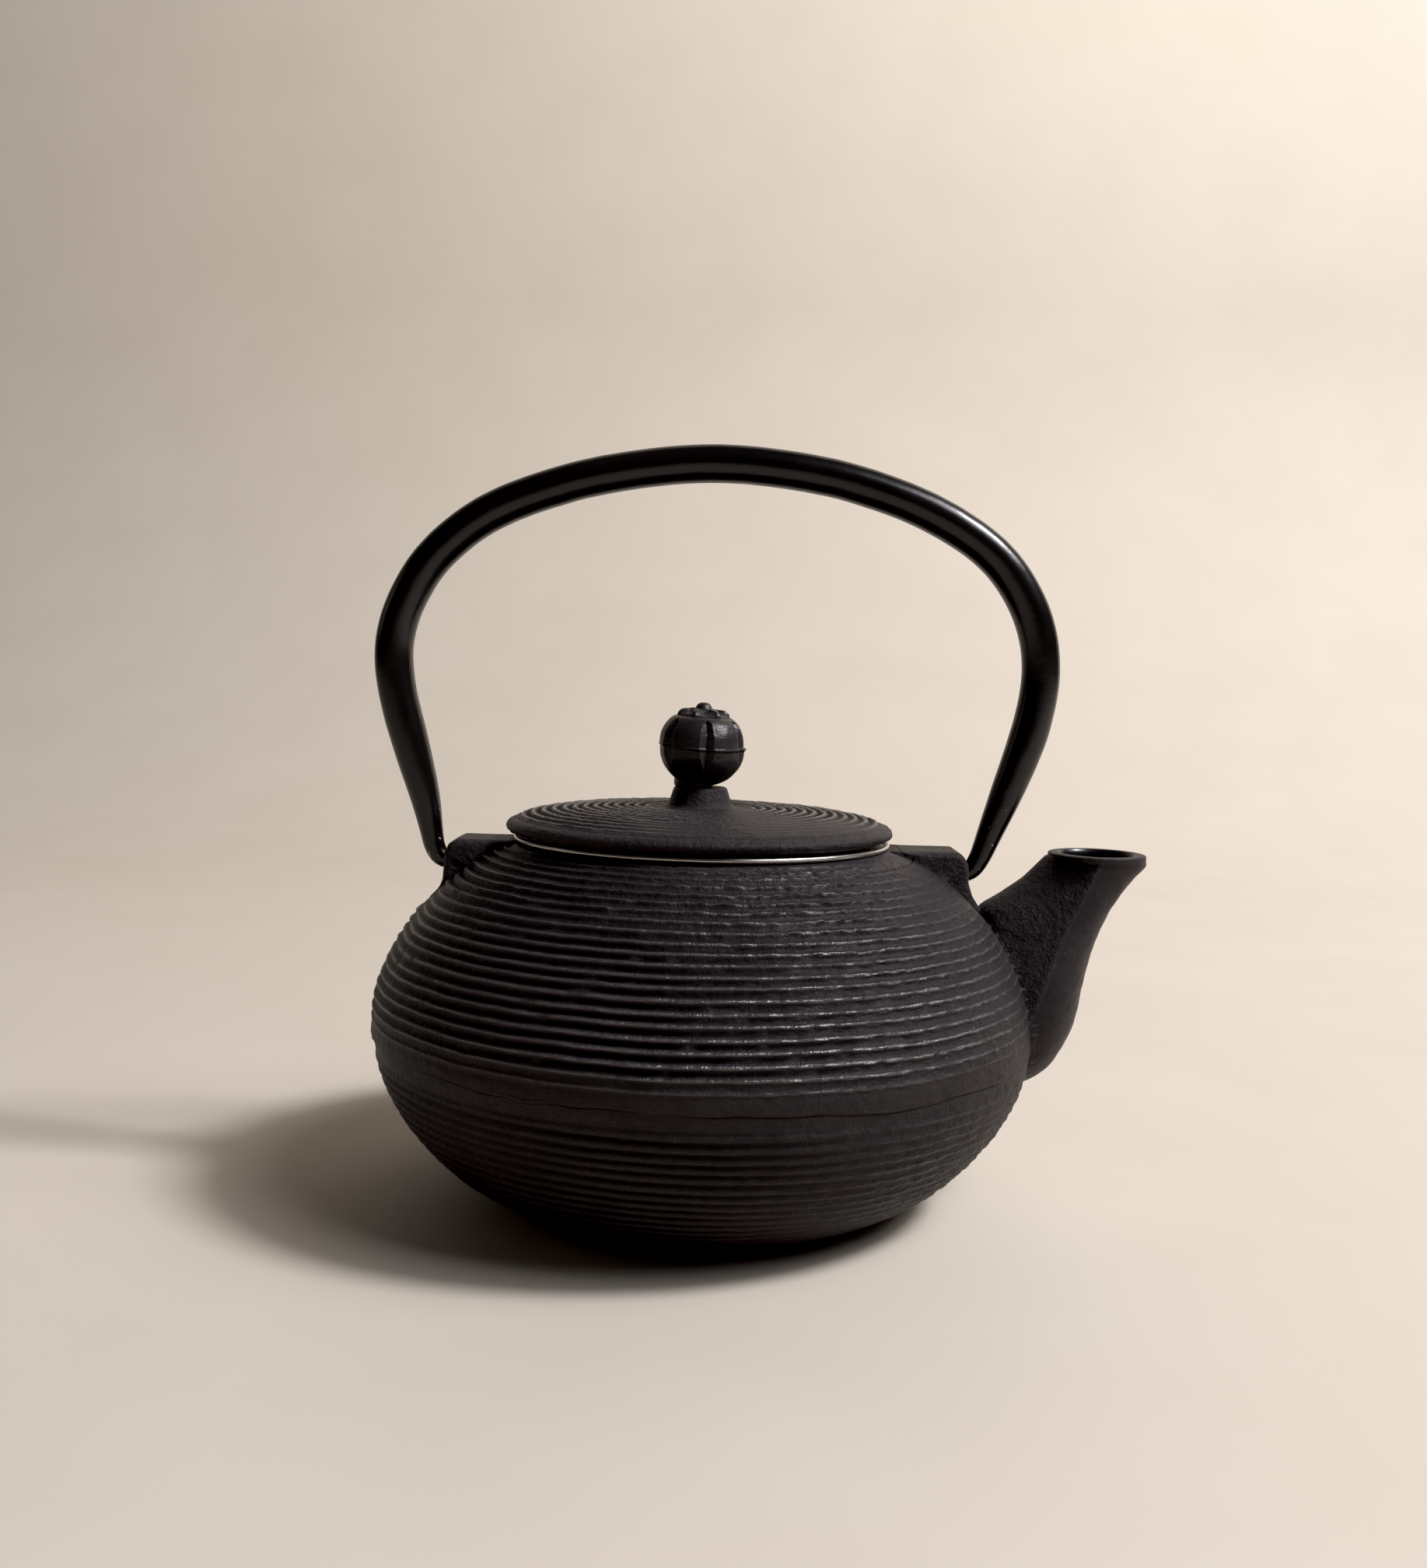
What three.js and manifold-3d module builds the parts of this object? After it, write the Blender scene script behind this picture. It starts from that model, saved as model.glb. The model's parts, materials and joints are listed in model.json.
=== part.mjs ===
// Cast-iron teapot with a drop-in infuser basket, a knobbed lid and a bail handle.
// Millimetres, +Z up. Origin: centre of the foot on the table. +X points to the spout,
// the bail handle stands in the X-Z plane at rest.

import * as THREE from 'three';
import { mergeVertices } from 'three/addons/utils/BufferGeometryUtils.js';
import { ParametricGeometry } from 'three/addons/geometries/ParametricGeometry.js';
import Module from 'manifold-3d';

const wasm = await Module();
wasm.setup();

const { lerp, degToRad } = THREE.MathUtils;

// ---------------------------------------------------------------- shared dimensions

const BODY_R = 72.5; // widest radius of the pot
const WALL = 3.4; // cast wall
const FLOOR_Z = 4.6; // inside floor
const RIM_Z = 77.3; // pot rim, under the basket's flange
const RIM_R = 40.3;
const MOUTH_R = 37.9; // inside radius of the mouth
const THROAT_Z = 72.6; // lower end of the straight throat
const FOOT_R = 41.2; // radius of the flat foot
const CUT_OVERSHOOT = 2; // how far the cavity and the waterway are cut past their openings

const HINGE_Z = 72.0; // height of the handle's pivot axis
const HOOK_R = 2.1; // handle tip that turns in the lug's socket

const LOOSE_X = -1.0; // the basket lies a little off the pot's axis
const LID_X = -1.6; // and so does the lid
const NECK_TOP_Z = 89.7; // top of the lid's neck, where the knob sits

// ---------------------------------------------------------------- materials

const FINISHES = {
  castIron: { color: 0x2a2120, roughness: 0.55, metalness: 0.55 },
  handle: { color: 0x17120f, roughness: 0.38, metalness: 0.5 },
  basketRim: { color: 0xc9c6c0, roughness: 0.25, metalness: 1.0 },
  basketSheet: { color: 0xb8b6b2, roughness: 0.35, metalness: 1.0 },
  basketFoot: { color: 0xc2c0bb, roughness: 0.3, metalness: 1.0 },
  knob: { color: 0x241c1c, roughness: 0.5, metalness: 0.55 },
  rivet: { color: 0x6f6c68, roughness: 0.4, metalness: 1.0 },
  washer: { color: 0x8a8782, roughness: 0.4, metalness: 1.0 },
};

// ---------------------------------------------------------------- helpers

// a solid from a three.js geometry that is closed once its seams are merged
function solid(geometry) {
  geometry.deleteAttribute('normal');
  geometry.deleteAttribute('uv');
  const merged = mergeVertices(geometry, 1e-4);
  const positions = merged.attributes.position.array;
  const index = merged.index.array;

  // drop the triangles that merging has collapsed, and sum the signed volume of the rest
  const triangles = [];
  const corner = (vertex) => new THREE.Vector3().fromArray(positions, vertex * 3);
  let volume = 0;
  for (let i = 0; i < index.length; i += 3) {
    const [a, b, c] = index.slice(i, i + 3);
    if (a === b || b === c || c === a) continue;
    triangles.push(a, b, c);
    volume += corner(a).dot(corner(b).cross(corner(c)));
  }

  // a negative volume means the surface is inside out
  if (volume < 0) {
    for (let i = 0; i < triangles.length; i += 3) {
      [triangles[i + 1], triangles[i + 2]] = [triangles[i + 2], triangles[i + 1]];
    }
  }
  return new wasm.Manifold(new wasm.Mesh({
    numProp: 3,
    vertProperties: Float32Array.from(positions),
    triVerts: Uint32Array.from(triangles),
  }));
}

function geometryOf(body) {
  const { vertProperties, triVerts } = body.getMesh();
  const geometry = new THREE.BufferGeometry();
  const positions = new THREE.BufferAttribute(Float32Array.from(vertProperties), 3);
  geometry.setAttribute('position', positions);
  geometry.setIndex(new THREE.BufferAttribute(Uint32Array.from(triVerts), 1));
  geometry.computeVertexNormals();
  return geometry;
}

// a profile of [radius, z] that starts and ends on the axis, turned round +Z
function turned(profile, segments) {
  const points = profile.map(([radius, z]) => new THREE.Vector2(radius, z));
  const geometry = new THREE.LatheGeometry(points, segments);
  geometry.rotateX(Math.PI / 2);
  return solid(geometry);
}

// a profile clear of the axis, closed back to its first point and turned round +Z
function turnedRing(profile, segments) {
  return turned([...profile, profile[0]], segments);
}

// a level ellipse of points, centred on the X-Z plane
function ellipseRing({ x, z, radiusX, radiusY, count }) {
  return Array.from({ length: count }, (_, k) => {
    const angle = (2 * Math.PI * k) / count;
    return new THREE.Vector3(x + radiusX * Math.cos(angle), radiusY * Math.sin(angle), z);
  });
}

function middleOf(ring) {
  const sum = ring.reduce((total, point) => total.add(point), new THREE.Vector3());
  return sum.divideScalar(ring.length);
}

// a skin through rings of equal point count, with a point at the middle of each end
function lofted(rings) {
  const count = rings[0].length;
  const ends = [middleOf(rings[0]), middleOf(rings.at(-1))];
  const rows = rings.length + 1;
  return solid(new ParametricGeometry((u, v, target) => {
    const row = Math.round(v * rows);
    if (row === 0) return target.copy(ends[0]);
    if (row === rows) return target.copy(ends[1]);
    return target.copy(rings[row - 1][Math.round(u * count) % count]);
  }, count, rows));
}

function mesh(name, body, finish) {
  const piece = new THREE.Mesh(geometryOf(body), new THREE.MeshStandardMaterial(finish));
  piece.name = name;
  return piece;
}

// ---------------------------------------------------------------- pot shell

// outside of the pot from the foot to the rim: radius, z
const BODY_OUTLINE = [
  [FOOT_R, 0], [44.3, 0.7], [48.84, 2.55], [52.68, 4.83], [57.1, 8.3], [61.2, 12.2],
  [64.7, 16.3], [67.7, 20.8], [70.2, 25.7], [71.8, 30.6], [BODY_R, 35.8], [72.35, 40.2],
  [71.5, 44.6], [69.95, 49.2], [67.7, 53.9], [64.9, 58.6], [61.5, 63.1], [57.6, 67.25],
  [53.2, 70.85], [48.4, 73.9], [43.4, 76.25], [40.9, 77.1],
];

function potOutside() {
  return turned([[0, 0], ...BODY_OUTLINE, [RIM_R, RIM_Z], [0, RIM_Z]], 60);
}

// every second outline point moved in by the wall, then a straight throat under the mouth
function potCavity() {
  const profile = [[0, FLOOR_Z], [FOOT_R - 4, FLOOR_Z]];
  for (let i = 2; i < BODY_OUTLINE.length - 1; i += 2) {
    const [radiusBelow, zBelow] = BODY_OUTLINE[i - 1];
    const [radiusAbove, zAbove] = BODY_OUTLINE[i + 1];
    const [outerRadius, outerZ] = BODY_OUTLINE[i];
    const run = radiusAbove - radiusBelow;
    const rise = zAbove - zBelow;
    const length = Math.hypot(run, rise);
    const radius = outerRadius - (WALL * rise) / length;
    const z = outerZ + (WALL * run) / length;
    // leave out points that crowd the floor or the throat
    if (z > FLOOR_Z + 0.5 && radius > MOUTH_R + 1.5) profile.push([radius, z]);
  }
  const top = RIM_Z + CUT_OVERSHOOT;
  profile.push([MOUTH_R, THROAT_Z], [MOUTH_R, top], [0, top]);
  return turned(profile, 40);
}

// ---------------------------------------------------------------- spout

const SPOUT_MOUTH_X = 87.4;
const SPOUT_MOUTH_R = 10.75;
const SPOUT_MOUTH_Z = 77.1;
const SPOUT_LIP_Z = 75.6; // the spout is round from here to its mouth
const SPOUT_BORE_R = 7.5;
const SPOUT_POINTS = 24; // points round a slice
const FLANK_FLAT = 0.62; // straight part of a flank, before it rounds in to the inner edge

// level slices: z, inner edge x, flank edge x, nose x,
// half width at the flank edge, half width at the inner edge
const SPOUT_SLICES = [
  [25.4, 60, 66.0, 72.6, 6.0, 5.0],
  [28.6, 60, 66.5, 77.4, 11.0, 9.0],
  [33.5, 60, 67.8, 81.0, 14.6, 11.2],
  [39.5, 60, 69.3, 83.5, 16.4, 12.5],
  [45.5, 60, 71.4, 84.75, 16.7, 11.8],
  [51.0, 60, 74.0, 85.5, 15.6, 9.7],
  [57.3, 60, 76.4, 87.3, 13.8, 7.2],
  [63.0, 60, 78.9, 89.6, 12.4, 5.5],
  [68.0, 66.4, 81.6, 92.6, 11.5, 5.0],
  [71.6, 71.0, 83.4, 95.2, 11.0, 5.4],
  [74.4, 74.2, 85.0, 97.4, 10.8, 6.6],
];

// level ellipses of the waterway: z, inner x, outer x, half width
const WATERWAY = [
  [29.5, 63, 72.0, 5.5], [33, 60, 76.6, 8.8], [38, 60, 79.4, 10], [44, 60, 81.0, 10],
  [50, 63.0, 82.1, 9.4], [56, 67.5, 83.4, 8.6], [62, 71.6, 85.6, 7.8], [68, 75.6, 89.2, 7.4],
  [73, 78.6, 92.8, SPOUT_BORE_R],
  [
    SPOUT_MOUTH_Z + CUT_OVERSHOOT,
    SPOUT_MOUTH_X - SPOUT_BORE_R, SPOUT_MOUTH_X + SPOUT_BORE_R, SPOUT_BORE_R,
  ],
];

// one slice: an elliptical nose towards +X and flanks that run in to the inner edge
function spoutSlice([z, innerX, flankX, noseX, flankHalf, innerHalf]) {
  return Array.from({ length: SPOUT_POINTS }, (_, k) => {
    const angle = (2 * Math.PI * k) / SPOUT_POINTS; // 0 at the nose
    const cos = Math.cos(angle);
    const sin = Math.sin(angle);
    if (cos >= 0) return new THREE.Vector3(flankX + (noseX - flankX) * cos, flankHalf * sin, z);

    const inward = -cos; // 0 at the flank edge, 1 at the inner edge
    const corner = Math.max(0, inward - FLANK_FLAT) / (1 - FLANK_FLAT);
    const rounding = inward < 0.999 ? Math.sqrt(1 - corner ** 2) : 0;
    const halfWidth = lerp(flankHalf, innerHalf, inward) * rounding;
    return new THREE.Vector3(lerp(flankX, innerX, inward), Math.sign(sin) * halfWidth, z);
  });
}

function spoutOutside() {
  const mouthRings = [SPOUT_LIP_Z, SPOUT_MOUTH_Z].map((z) => ellipseRing({
    x: SPOUT_MOUTH_X, z, radiusX: SPOUT_MOUTH_R, radiusY: SPOUT_MOUTH_R, count: SPOUT_POINTS,
  }));
  return lofted([...SPOUT_SLICES.map(spoutSlice), ...mouthRings]);
}

function waterway() {
  return lofted(WATERWAY.map(([z, innerX, outerX, halfWidth]) => ellipseRing({
    x: (innerX + outerX) / 2, z, radiusX: (outerX - innerX) / 2, radiusY: halfWidth, count: 16,
  })));
}

// ---------------------------------------------------------------- handle lugs

const LUG_X = 57.7; // outer face of a lug
const LUG_TOP_Z = 77.2;
const LUG_WIDTH = 15.5; // along Y
const LUG_BEVEL = 0.9;
const SOCKET_R = 2.55; // blind socket in the lug
const SOCKET_DEPTH = 7.4;
const SOCKET_OVERSHOOT = 4; // cut past the lug's outer face

// a lug on the +X side, turned about Z by the given angle
function lug(angle) {
  const faceX = LUG_X - LUG_BEVEL;
  const topZ = LUG_TOP_Z - LUG_BEVEL;
  const side = new THREE.Shape(); // x, z, before the bevel is added
  side.moveTo(44, 68);
  side.lineTo(43, 75.5);
  side.lineTo(43, topZ);
  side.lineTo(54.3, topZ);
  side.quadraticCurveTo(56.0, LUG_TOP_Z - 1.0, LUG_X - 1.2, 74.8);
  side.lineTo(faceX, 73.0);
  side.lineTo(faceX, 69.6);
  side.quadraticCurveTo(57.2, 66.2, 59.6, 64.2);
  side.lineTo(58.5, 62.5);
  side.lineTo(50, 64);
  side.closePath();

  const depth = LUG_WIDTH - 2 * LUG_BEVEL;
  const geometry = new THREE.ExtrudeGeometry(side, {
    depth,
    bevelEnabled: true,
    bevelThickness: LUG_BEVEL,
    bevelSize: LUG_BEVEL,
    bevelSegments: 2,
    curveSegments: 4,
  });
  geometry.translate(0, 0, -depth / 2);
  geometry.rotateX(Math.PI / 2);
  geometry.rotateZ(angle);
  return solid(geometry);
}

// sign: +1 for the lug on the spout's side, -1 for the other
function socket(sign) {
  const length = SOCKET_DEPTH + SOCKET_OVERSHOOT;
  const geometry = new THREE.CylinderGeometry(SOCKET_R, SOCKET_R, length, 20);
  geometry.rotateZ(Math.PI / 2);
  geometry.translate(sign * (LUG_X + (SOCKET_OVERSHOOT - SOCKET_DEPTH) / 2), 0, HINGE_Z);
  return solid(geometry);
}

// the whole pot casting
function potBody() {
  return potOutside().add(spoutOutside()).add(lug(0)).add(lug(Math.PI))
    .subtract(potCavity()).subtract(waterway()).subtract(socket(1)).subtract(socket(-1));
}

// ---------------------------------------------------------------- bail handle

const TUBE_R = 4.2;
const TUBE_WALL = 0.9;
const HANDLE_STEPS = 36; // along the tube
const HANDLE_SIDES = 12; // round the tube
const HOOK_CROWDING = 0.115; // how strongly the stations gather at the hooks
const ARC_DIVISIONS = 1600; // samples for measuring the centre line

// centre line from the -X hook to the +X hook: x, z, tube radius
const HANDLE_LINE = [
  [-52.2, HINGE_Z, HOOK_R], [-55.0, HINGE_Z, HOOK_R], [-57.7, HINGE_Z + 0.05, HOOK_R],
  [-59.4, 72.8, 2.15], [-60.6, 74.8, 2.3], [-61.4, 78.6, 2.6], [-62.9, 85.8, 3.3],
  [-66.4, 98.0, 4.05], [-69.4, 109.3, TUBE_R], [-70.3, 117.0, TUBE_R], [-69.8, 122.5, TUBE_R],
  [-67.5, 129.5, TUBE_R], [-61.8, 138.8, TUBE_R], [-50.5, 148.3, TUBE_R],
  [-33.8, 155.3, TUBE_R], [-17.0, 159.2, TUBE_R], [0.0, 160.9, TUBE_R], [17.1, 159.8, TUBE_R],
  [31.8, 157.0, TUBE_R], [48.7, 150.9, TUBE_R], [62.3, 142.1, TUBE_R], [69.1, 133.0, TUBE_R],
  [72.1, 125.5, TUBE_R], [73.2, 117.5, TUBE_R], [72.4, 109.0, TUBE_R], [70.7, 101.9, 4.15],
  [66.6, 89.9, 3.55], [63.2, 80.8, 2.8], [61.1, 75.3, 2.35], [59.6, 72.9, 2.15],
  [57.8, HINGE_Z + 0.05, HOOK_R], [55.0, HINGE_Z, HOOK_R], [52.2, HINGE_Z, HOOK_R],
];

function handle() {
  const nodes = HANDLE_LINE.map(([x, z]) => new THREE.Vector3(x, 0, z));
  const line = new THREE.CatmullRomCurve3(nodes, false, 'centripetal');
  line.arcLengthDivisions = ARC_DIVISIONS;

  // share of the whole length at which each node lies
  const lengths = line.getLengths();
  const nodeShares = nodes.map((_, i) => {
    const sample = Math.round((i / (nodes.length - 1)) * ARC_DIVISIONS);
    return lengths[sample] / lengths[ARC_DIVISIONS];
  });
  const radiusAt = (share) => {
    const next = Math.max(1, nodeShares.findIndex((nodeShare) => share <= nodeShare));
    const [from, to] = [nodeShares[next - 1], nodeShares[next]];
    const fraction = (share - from) / (to - from);
    return lerp(HANDLE_LINE[next - 1][2], HANDLE_LINE[next][2], fraction);
  };

  const outside = [];
  for (let i = 0; i <= HANDLE_STEPS; i++) {
    const even = i / HANDLE_STEPS;
    const share = even - HOOK_CROWDING * Math.sin(2 * Math.PI * even);
    const tangent = line.getTangentAt(share);
    outside.push({
      centre: line.getPointAt(share),
      normal: new THREE.Vector3(tangent.z, 0, -tangent.x),
      radius: radiusAt(share),
    });
  }

  // along the outside, then back along the bore: a tube open at both tips
  const bore = outside.map((row) => ({ ...row, radius: row.radius - TUBE_WALL })).reverse();
  const loop = [...outside, ...bore];
  return solid(new ParametricGeometry((u, v, target) => {
    const { centre, normal, radius } = loop[Math.round(v * loop.length) % loop.length];
    const side = Math.round(u * HANDLE_SIDES) % HANDLE_SIDES;
    const angle = (2 * Math.PI * side) / HANDLE_SIDES;
    target.copy(centre).addScaledVector(normal, radius * Math.cos(angle));
    target.y += radius * Math.sin(angle);
  }, HANDLE_SIDES, loop.length));
}

// ---------------------------------------------------------------- infuser basket

const FLANGE_R = 41.7; // outside of the flange's rolled bead
const FLANGE_Z = 77.6; // underside of the flange
const BASKET_R = 36.3; // outside of the collar
const COLLAR_R = BASKET_R - 0.5; // inside of the collar
const BASKET_BOTTOM_Z = 33.4;
const BASKET_SEGMENTS = 44;

// collar, flange and the bead round its edge
function infuserRim() {
  return turnedRing([
    [COLLAR_R, 69.0], [BASKET_R, 69.0], [BASKET_R, 77.0], [BASKET_R + 0.4, FLANGE_Z],
    [FLANGE_R - 0.9, FLANGE_Z], [FLANGE_R - 0.3, 77.5], [FLANGE_R, 77.95],
    [FLANGE_R - 0.1, 78.4], [FLANGE_R - 0.6, 78.65], [FLANGE_R - 1.1, 78.4],
    [FLANGE_R - 1.3, 78.1], [BASKET_R + 0.1, 78.1], [COLLAR_R, 77.4],
  ], BASKET_SEGMENTS);
}

function infuserWall() {
  return turnedRing([[35.1, 34.0], [35.6, 34.0], [35.6, 71.8], [35.1, 71.8]], BASKET_SEGMENTS);
}

// flat disc with an upturned edge
function infuserFloor() {
  return turned([
    [0, 34.2], [34.0, 34.2], [34.8, 34.9], [34.8, 37.2], [34.35, 37.2], [34.35, 35.1],
    [33.8, 34.65], [0, 34.65],
  ], BASKET_SEGMENTS);
}

// angled ring round the basket's bottom edge
function infuserFootRing() {
  return turnedRing([
    [33.2, BASKET_BOTTOM_Z], [35.6, BASKET_BOTTOM_Z], [36.3, 34.1], [36.3, 37.0],
    [35.85, 37.0], [35.85, 34.2], [35.5, 33.85], [33.2, 33.85],
  ], BASKET_SEGMENTS);
}

// ---------------------------------------------------------------- lid

const LID_R = 42.8;
const LID_SEAT_Z = 78.9;
const SKIRT_R = 34.5; // ring under the lid that drops into the basket
const SKIRT_BOTTOM_Z = 72.8;
const NECK_BORE_R = 2.75;
const NECK_BORE_BOTTOM_Z = 81.3;

function lid() {
  return turnedRing([
    [NECK_BORE_R, NECK_TOP_Z], [5.9, NECK_TOP_Z], [6.7, 87.0], [7.4, 85.5], [9.5, 85.0],
    [20, 84.9], [30, 84.15], [39.0, 82.9], [41.6, 82.15], [LID_R, 80.9], [41.9, 79.6],
    [40.0, LID_SEAT_Z], [SKIRT_R, LID_SEAT_Z], [SKIRT_R, SKIRT_BOTTOM_Z],
    [32.4, SKIRT_BOTTOM_Z], [32.3, 78.2], [30.5, 79.2], [20, 80.7],
    [12, NECK_BORE_BOTTOM_Z], [NECK_BORE_R, NECK_BORE_BOTTOM_Z],
  ], 48);
}

// ---------------------------------------------------------------- knob
// Drawn round the rivet's axis, with z = 0 at the top of the lid's neck.

const KNOB_R = 9.4;
const KNOB_HALF_HEIGHT = 8.3;
const KNOB_LEAN = 2.5; // degrees, towards the spout and as much towards -Y
const KNOB_BALL_X = 0.04;
const KNOB_BALL_Z = 0.7 + KNOB_HALF_HEIGHT; // middle of the ball
const KNOB_BOSS_X = -1.6; // the boss under the ball sits off the rivet's axis
const BALL_ARC = 60; // degrees of the ball's side above and below its middle
const BALL_ARC_STEPS = 8;
const RIVET_R = 1.45;
const RIVET_BORE_R = RIVET_R + 0.05;

// profile round the ball's own middle, with a raised button on top
function knobBall() {
  const profile = [[0, -8.2], [3.0, -8.0]];
  for (let i = 0; i <= BALL_ARC_STEPS; i++) {
    const angle = degToRad(-BALL_ARC + (i * 2 * BALL_ARC) / BALL_ARC_STEPS);
    profile.push([KNOB_R * Math.cos(angle), KNOB_HALF_HEIGHT * Math.sin(angle)]);
  }
  profile.push(
    [5.1, 7.3], [5.6, 7.6], [5.5, 8.3], [4.6, 8.6], [1.9, 8.5], [1.6, 9.6], [0.9, 9.9], [0, 9.9],
  );
  return turned(profile, 24)
    .rotate([KNOB_LEAN, KNOB_LEAN, 0])
    .translate([KNOB_BALL_X, 0, KNOB_BALL_Z]);
}

function lidKnob() {
  const boss = turned([[0, 0.15], [4.2, 0.15], [4.3, 0.3], [4.3, 3.0], [0, 3.6]], 24)
    .translate([KNOB_BOSS_X, 0, 0]);
  const bore = turned([[0, -1], [RIVET_BORE_R, -1], [RIVET_BORE_R, 10.4], [0, 11.2]], 16);
  return knobBall().add(boss).subtract(bore);
}

function knobRivet() {
  return turned([
    [0, -11.2], [1.6, -11.0], [2.8, -10.2], [3.0, -9.75], [RIVET_R, -9.75], [RIVET_R, 10.0],
    [1.0, 10.4], [0, 10.4],
  ], 16);
}

function rivetWasher() {
  return turnedRing([[1.75, -9.6], [4.4, -9.6], [4.4, -8.85], [1.75, -8.85]], 24);
}

// ---------------------------------------------------------------- assembly

const basket = new THREE.Group();
basket.position.x = LOOSE_X;
basket.add(
  mesh('infuser_rim', infuserRim(), FINISHES.basketRim),
  mesh('infuser_wall', infuserWall(), FINISHES.basketSheet),
  mesh('infuser_floor', infuserFloor(), FINISHES.basketSheet),
  mesh('infuser_foot_ring', infuserFootRing(), FINISHES.basketFoot),
);

const cover = new THREE.Group();
cover.position.x = LID_X;
cover.add(mesh('lid', lid(), FINISHES.castIron));

const knob = new THREE.Group();
knob.position.set(LID_X, 0, NECK_TOP_Z);
knob.add(
  mesh('lid_knob', lidKnob(), FINISHES.knob),
  mesh('knob_rivet', knobRivet(), FINISHES.rivet),
  mesh('rivet_washer', rivetWasher(), FINISHES.washer),
);

const teapot = new THREE.Group();
teapot.add(
  mesh('pot_body', potBody(), FINISHES.castIron),
  mesh('handle', handle(), FINISHES.handle),
  basket,
  cover,
  knob,
);

export default teapot;
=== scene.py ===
"""A cast-iron teapot with a bail handle, a lid with a knob, and a steel tea basket.

The pot stands on z = 0 with its axis on z. The spout points to +x, the front and the camera
are towards -y. Shapes are drawn in mm and turned into metres when a mesh is made.
"""

import json
import math

import bmesh
import bpy
import numpy as np
from mathutils import Matrix, Vector
from mathutils.kdtree import KDTree


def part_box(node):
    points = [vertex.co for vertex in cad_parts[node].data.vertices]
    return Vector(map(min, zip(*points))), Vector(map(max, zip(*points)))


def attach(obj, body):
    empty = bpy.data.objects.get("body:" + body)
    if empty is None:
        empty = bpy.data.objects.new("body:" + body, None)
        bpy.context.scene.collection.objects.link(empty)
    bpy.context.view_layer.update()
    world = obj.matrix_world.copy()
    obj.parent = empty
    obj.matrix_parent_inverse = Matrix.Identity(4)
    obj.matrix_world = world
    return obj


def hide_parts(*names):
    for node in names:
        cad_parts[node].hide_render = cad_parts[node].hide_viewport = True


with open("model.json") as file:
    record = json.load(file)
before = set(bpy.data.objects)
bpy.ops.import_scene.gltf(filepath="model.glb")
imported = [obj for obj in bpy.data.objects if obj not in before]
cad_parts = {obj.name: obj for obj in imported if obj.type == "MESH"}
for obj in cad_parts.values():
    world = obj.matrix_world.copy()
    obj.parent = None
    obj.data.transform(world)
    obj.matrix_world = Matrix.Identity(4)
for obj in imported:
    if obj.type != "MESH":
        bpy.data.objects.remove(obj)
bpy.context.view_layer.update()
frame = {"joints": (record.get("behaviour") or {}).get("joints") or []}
MM = 0.001                      # metres in a millimetre
rng = np.random.default_rng(20)


# ---------------------------------------------------------------- places from the CAD (mm)

def cad_box(piece):
    """The low and high corners of a CAD piece."""
    low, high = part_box(piece)
    return np.array(low) / MM, np.array(high) / MM


def middle_x(low, high):
    return (low[0] + high[0]) / 2


def radius_of(low, high):
    return (high[0] - low[0]) / 2


pot_low, pot_high = cad_box("pot_body")
rim_low, rim_high = cad_box("infuser_rim")
wall_low, wall_high = cad_box("infuser_wall")
floor_low, floor_high = cad_box("infuser_floor")
ring_low, ring_high = cad_box("infuser_foot_ring")
lid_low, lid_high = cad_box("lid")
joints = {entry["name"]: entry for entry in frame["joints"]}

DRAWN_RADIUS = 72.5             # widest radius of the pot as drawn
SCALE = (pot_high[1] - pot_low[1]) / 2 / DRAWN_RADIUS
RIM_Z = pot_high[2]
LID_X = middle_x(lid_low, lid_high)
LID_RADIUS = radius_of(lid_low, lid_high)
LID_TOP = lid_high[2]
BASKET_X = middle_x(rim_low, rim_high)
HINGE_Z = joints["handle_swing"]["pos_m"][2] / MM
KNOB_AT = np.array(joints["knob_spin"]["pos_m"]) / MM
KNOB_AXIS = np.array(joints["knob_spin"]["axis"])


# ---------------------------------------------------------------- numbers and curves

def count(full):
    """How many rows, columns or samples to use."""
    return full


def round_angles(number):
    """Evenly spaced angles for one full turn."""
    return 2 * np.pi * np.arange(number) / number


def wrap(angle):
    """The same angle between -pi and pi."""
    return (angle + np.pi) % (2 * np.pi) - np.pi


def smoothstep(start, end, value):
    part = np.clip((value - start) / (end - start), 0, 1)
    return part * part * (3 - 2 * part)


def angle_step(start, end, angle):
    """A smoothstep whose limits are in degrees, for an angle in radians."""
    return smoothstep(math.radians(start), math.radians(end), angle)


def bell(value, width):
    return np.exp(-((value / width) ** 2))


def resample(at, key, table):
    """Every column of a table, interpolated at the given keys."""
    return np.stack([np.interp(at, key, column) for column in table.T], 1)


def trace(points):
    """A fine Catmull-Rom curve through points, and the length along it at each sample."""
    ends = np.asarray(points, float)
    ends = np.vstack([2 * ends[0] - ends[1], ends, 2 * ends[-1] - ends[-2]])
    t = np.linspace(0, 1, 40, endpoint=False)[:, None]
    pieces = []
    for i in range(1, len(ends) - 2):
        before, start, end, after = ends[i - 1:i + 3]
        gap0, gap1, gap2 = [max(np.linalg.norm(b - a), 1e-6) ** 0.5
                            for a, b in ((before, start), (start, end), (end, after))]
        slope0 = (start - before) / gap0 - (end - before) / (gap0 + gap1) + (end - start) / gap1
        slope1 = (end - start) / gap1 - (after - start) / (gap1 + gap2) + (after - end) / gap2
        slope0, slope1 = slope0 * gap1, slope1 * gap1
        pieces.append((2 * t**3 - 3 * t**2 + 1) * start + (t**3 - 2 * t**2 + t) * slope0
                      + (-2 * t**3 + 3 * t**2) * end + (t**3 - t**2) * slope1)
    curve = np.vstack(pieces + [ends[-2][None]])
    return curve, np.r_[0, np.cumsum(np.linalg.norm(np.diff(curve, axis=0), axis=1))]


def smooth_curve(points, number):
    """A smooth open curve through points, sampled evenly along its length."""
    curve, length = trace(points)
    return resample(np.linspace(0, length[-1], number), length, curve)


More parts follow.
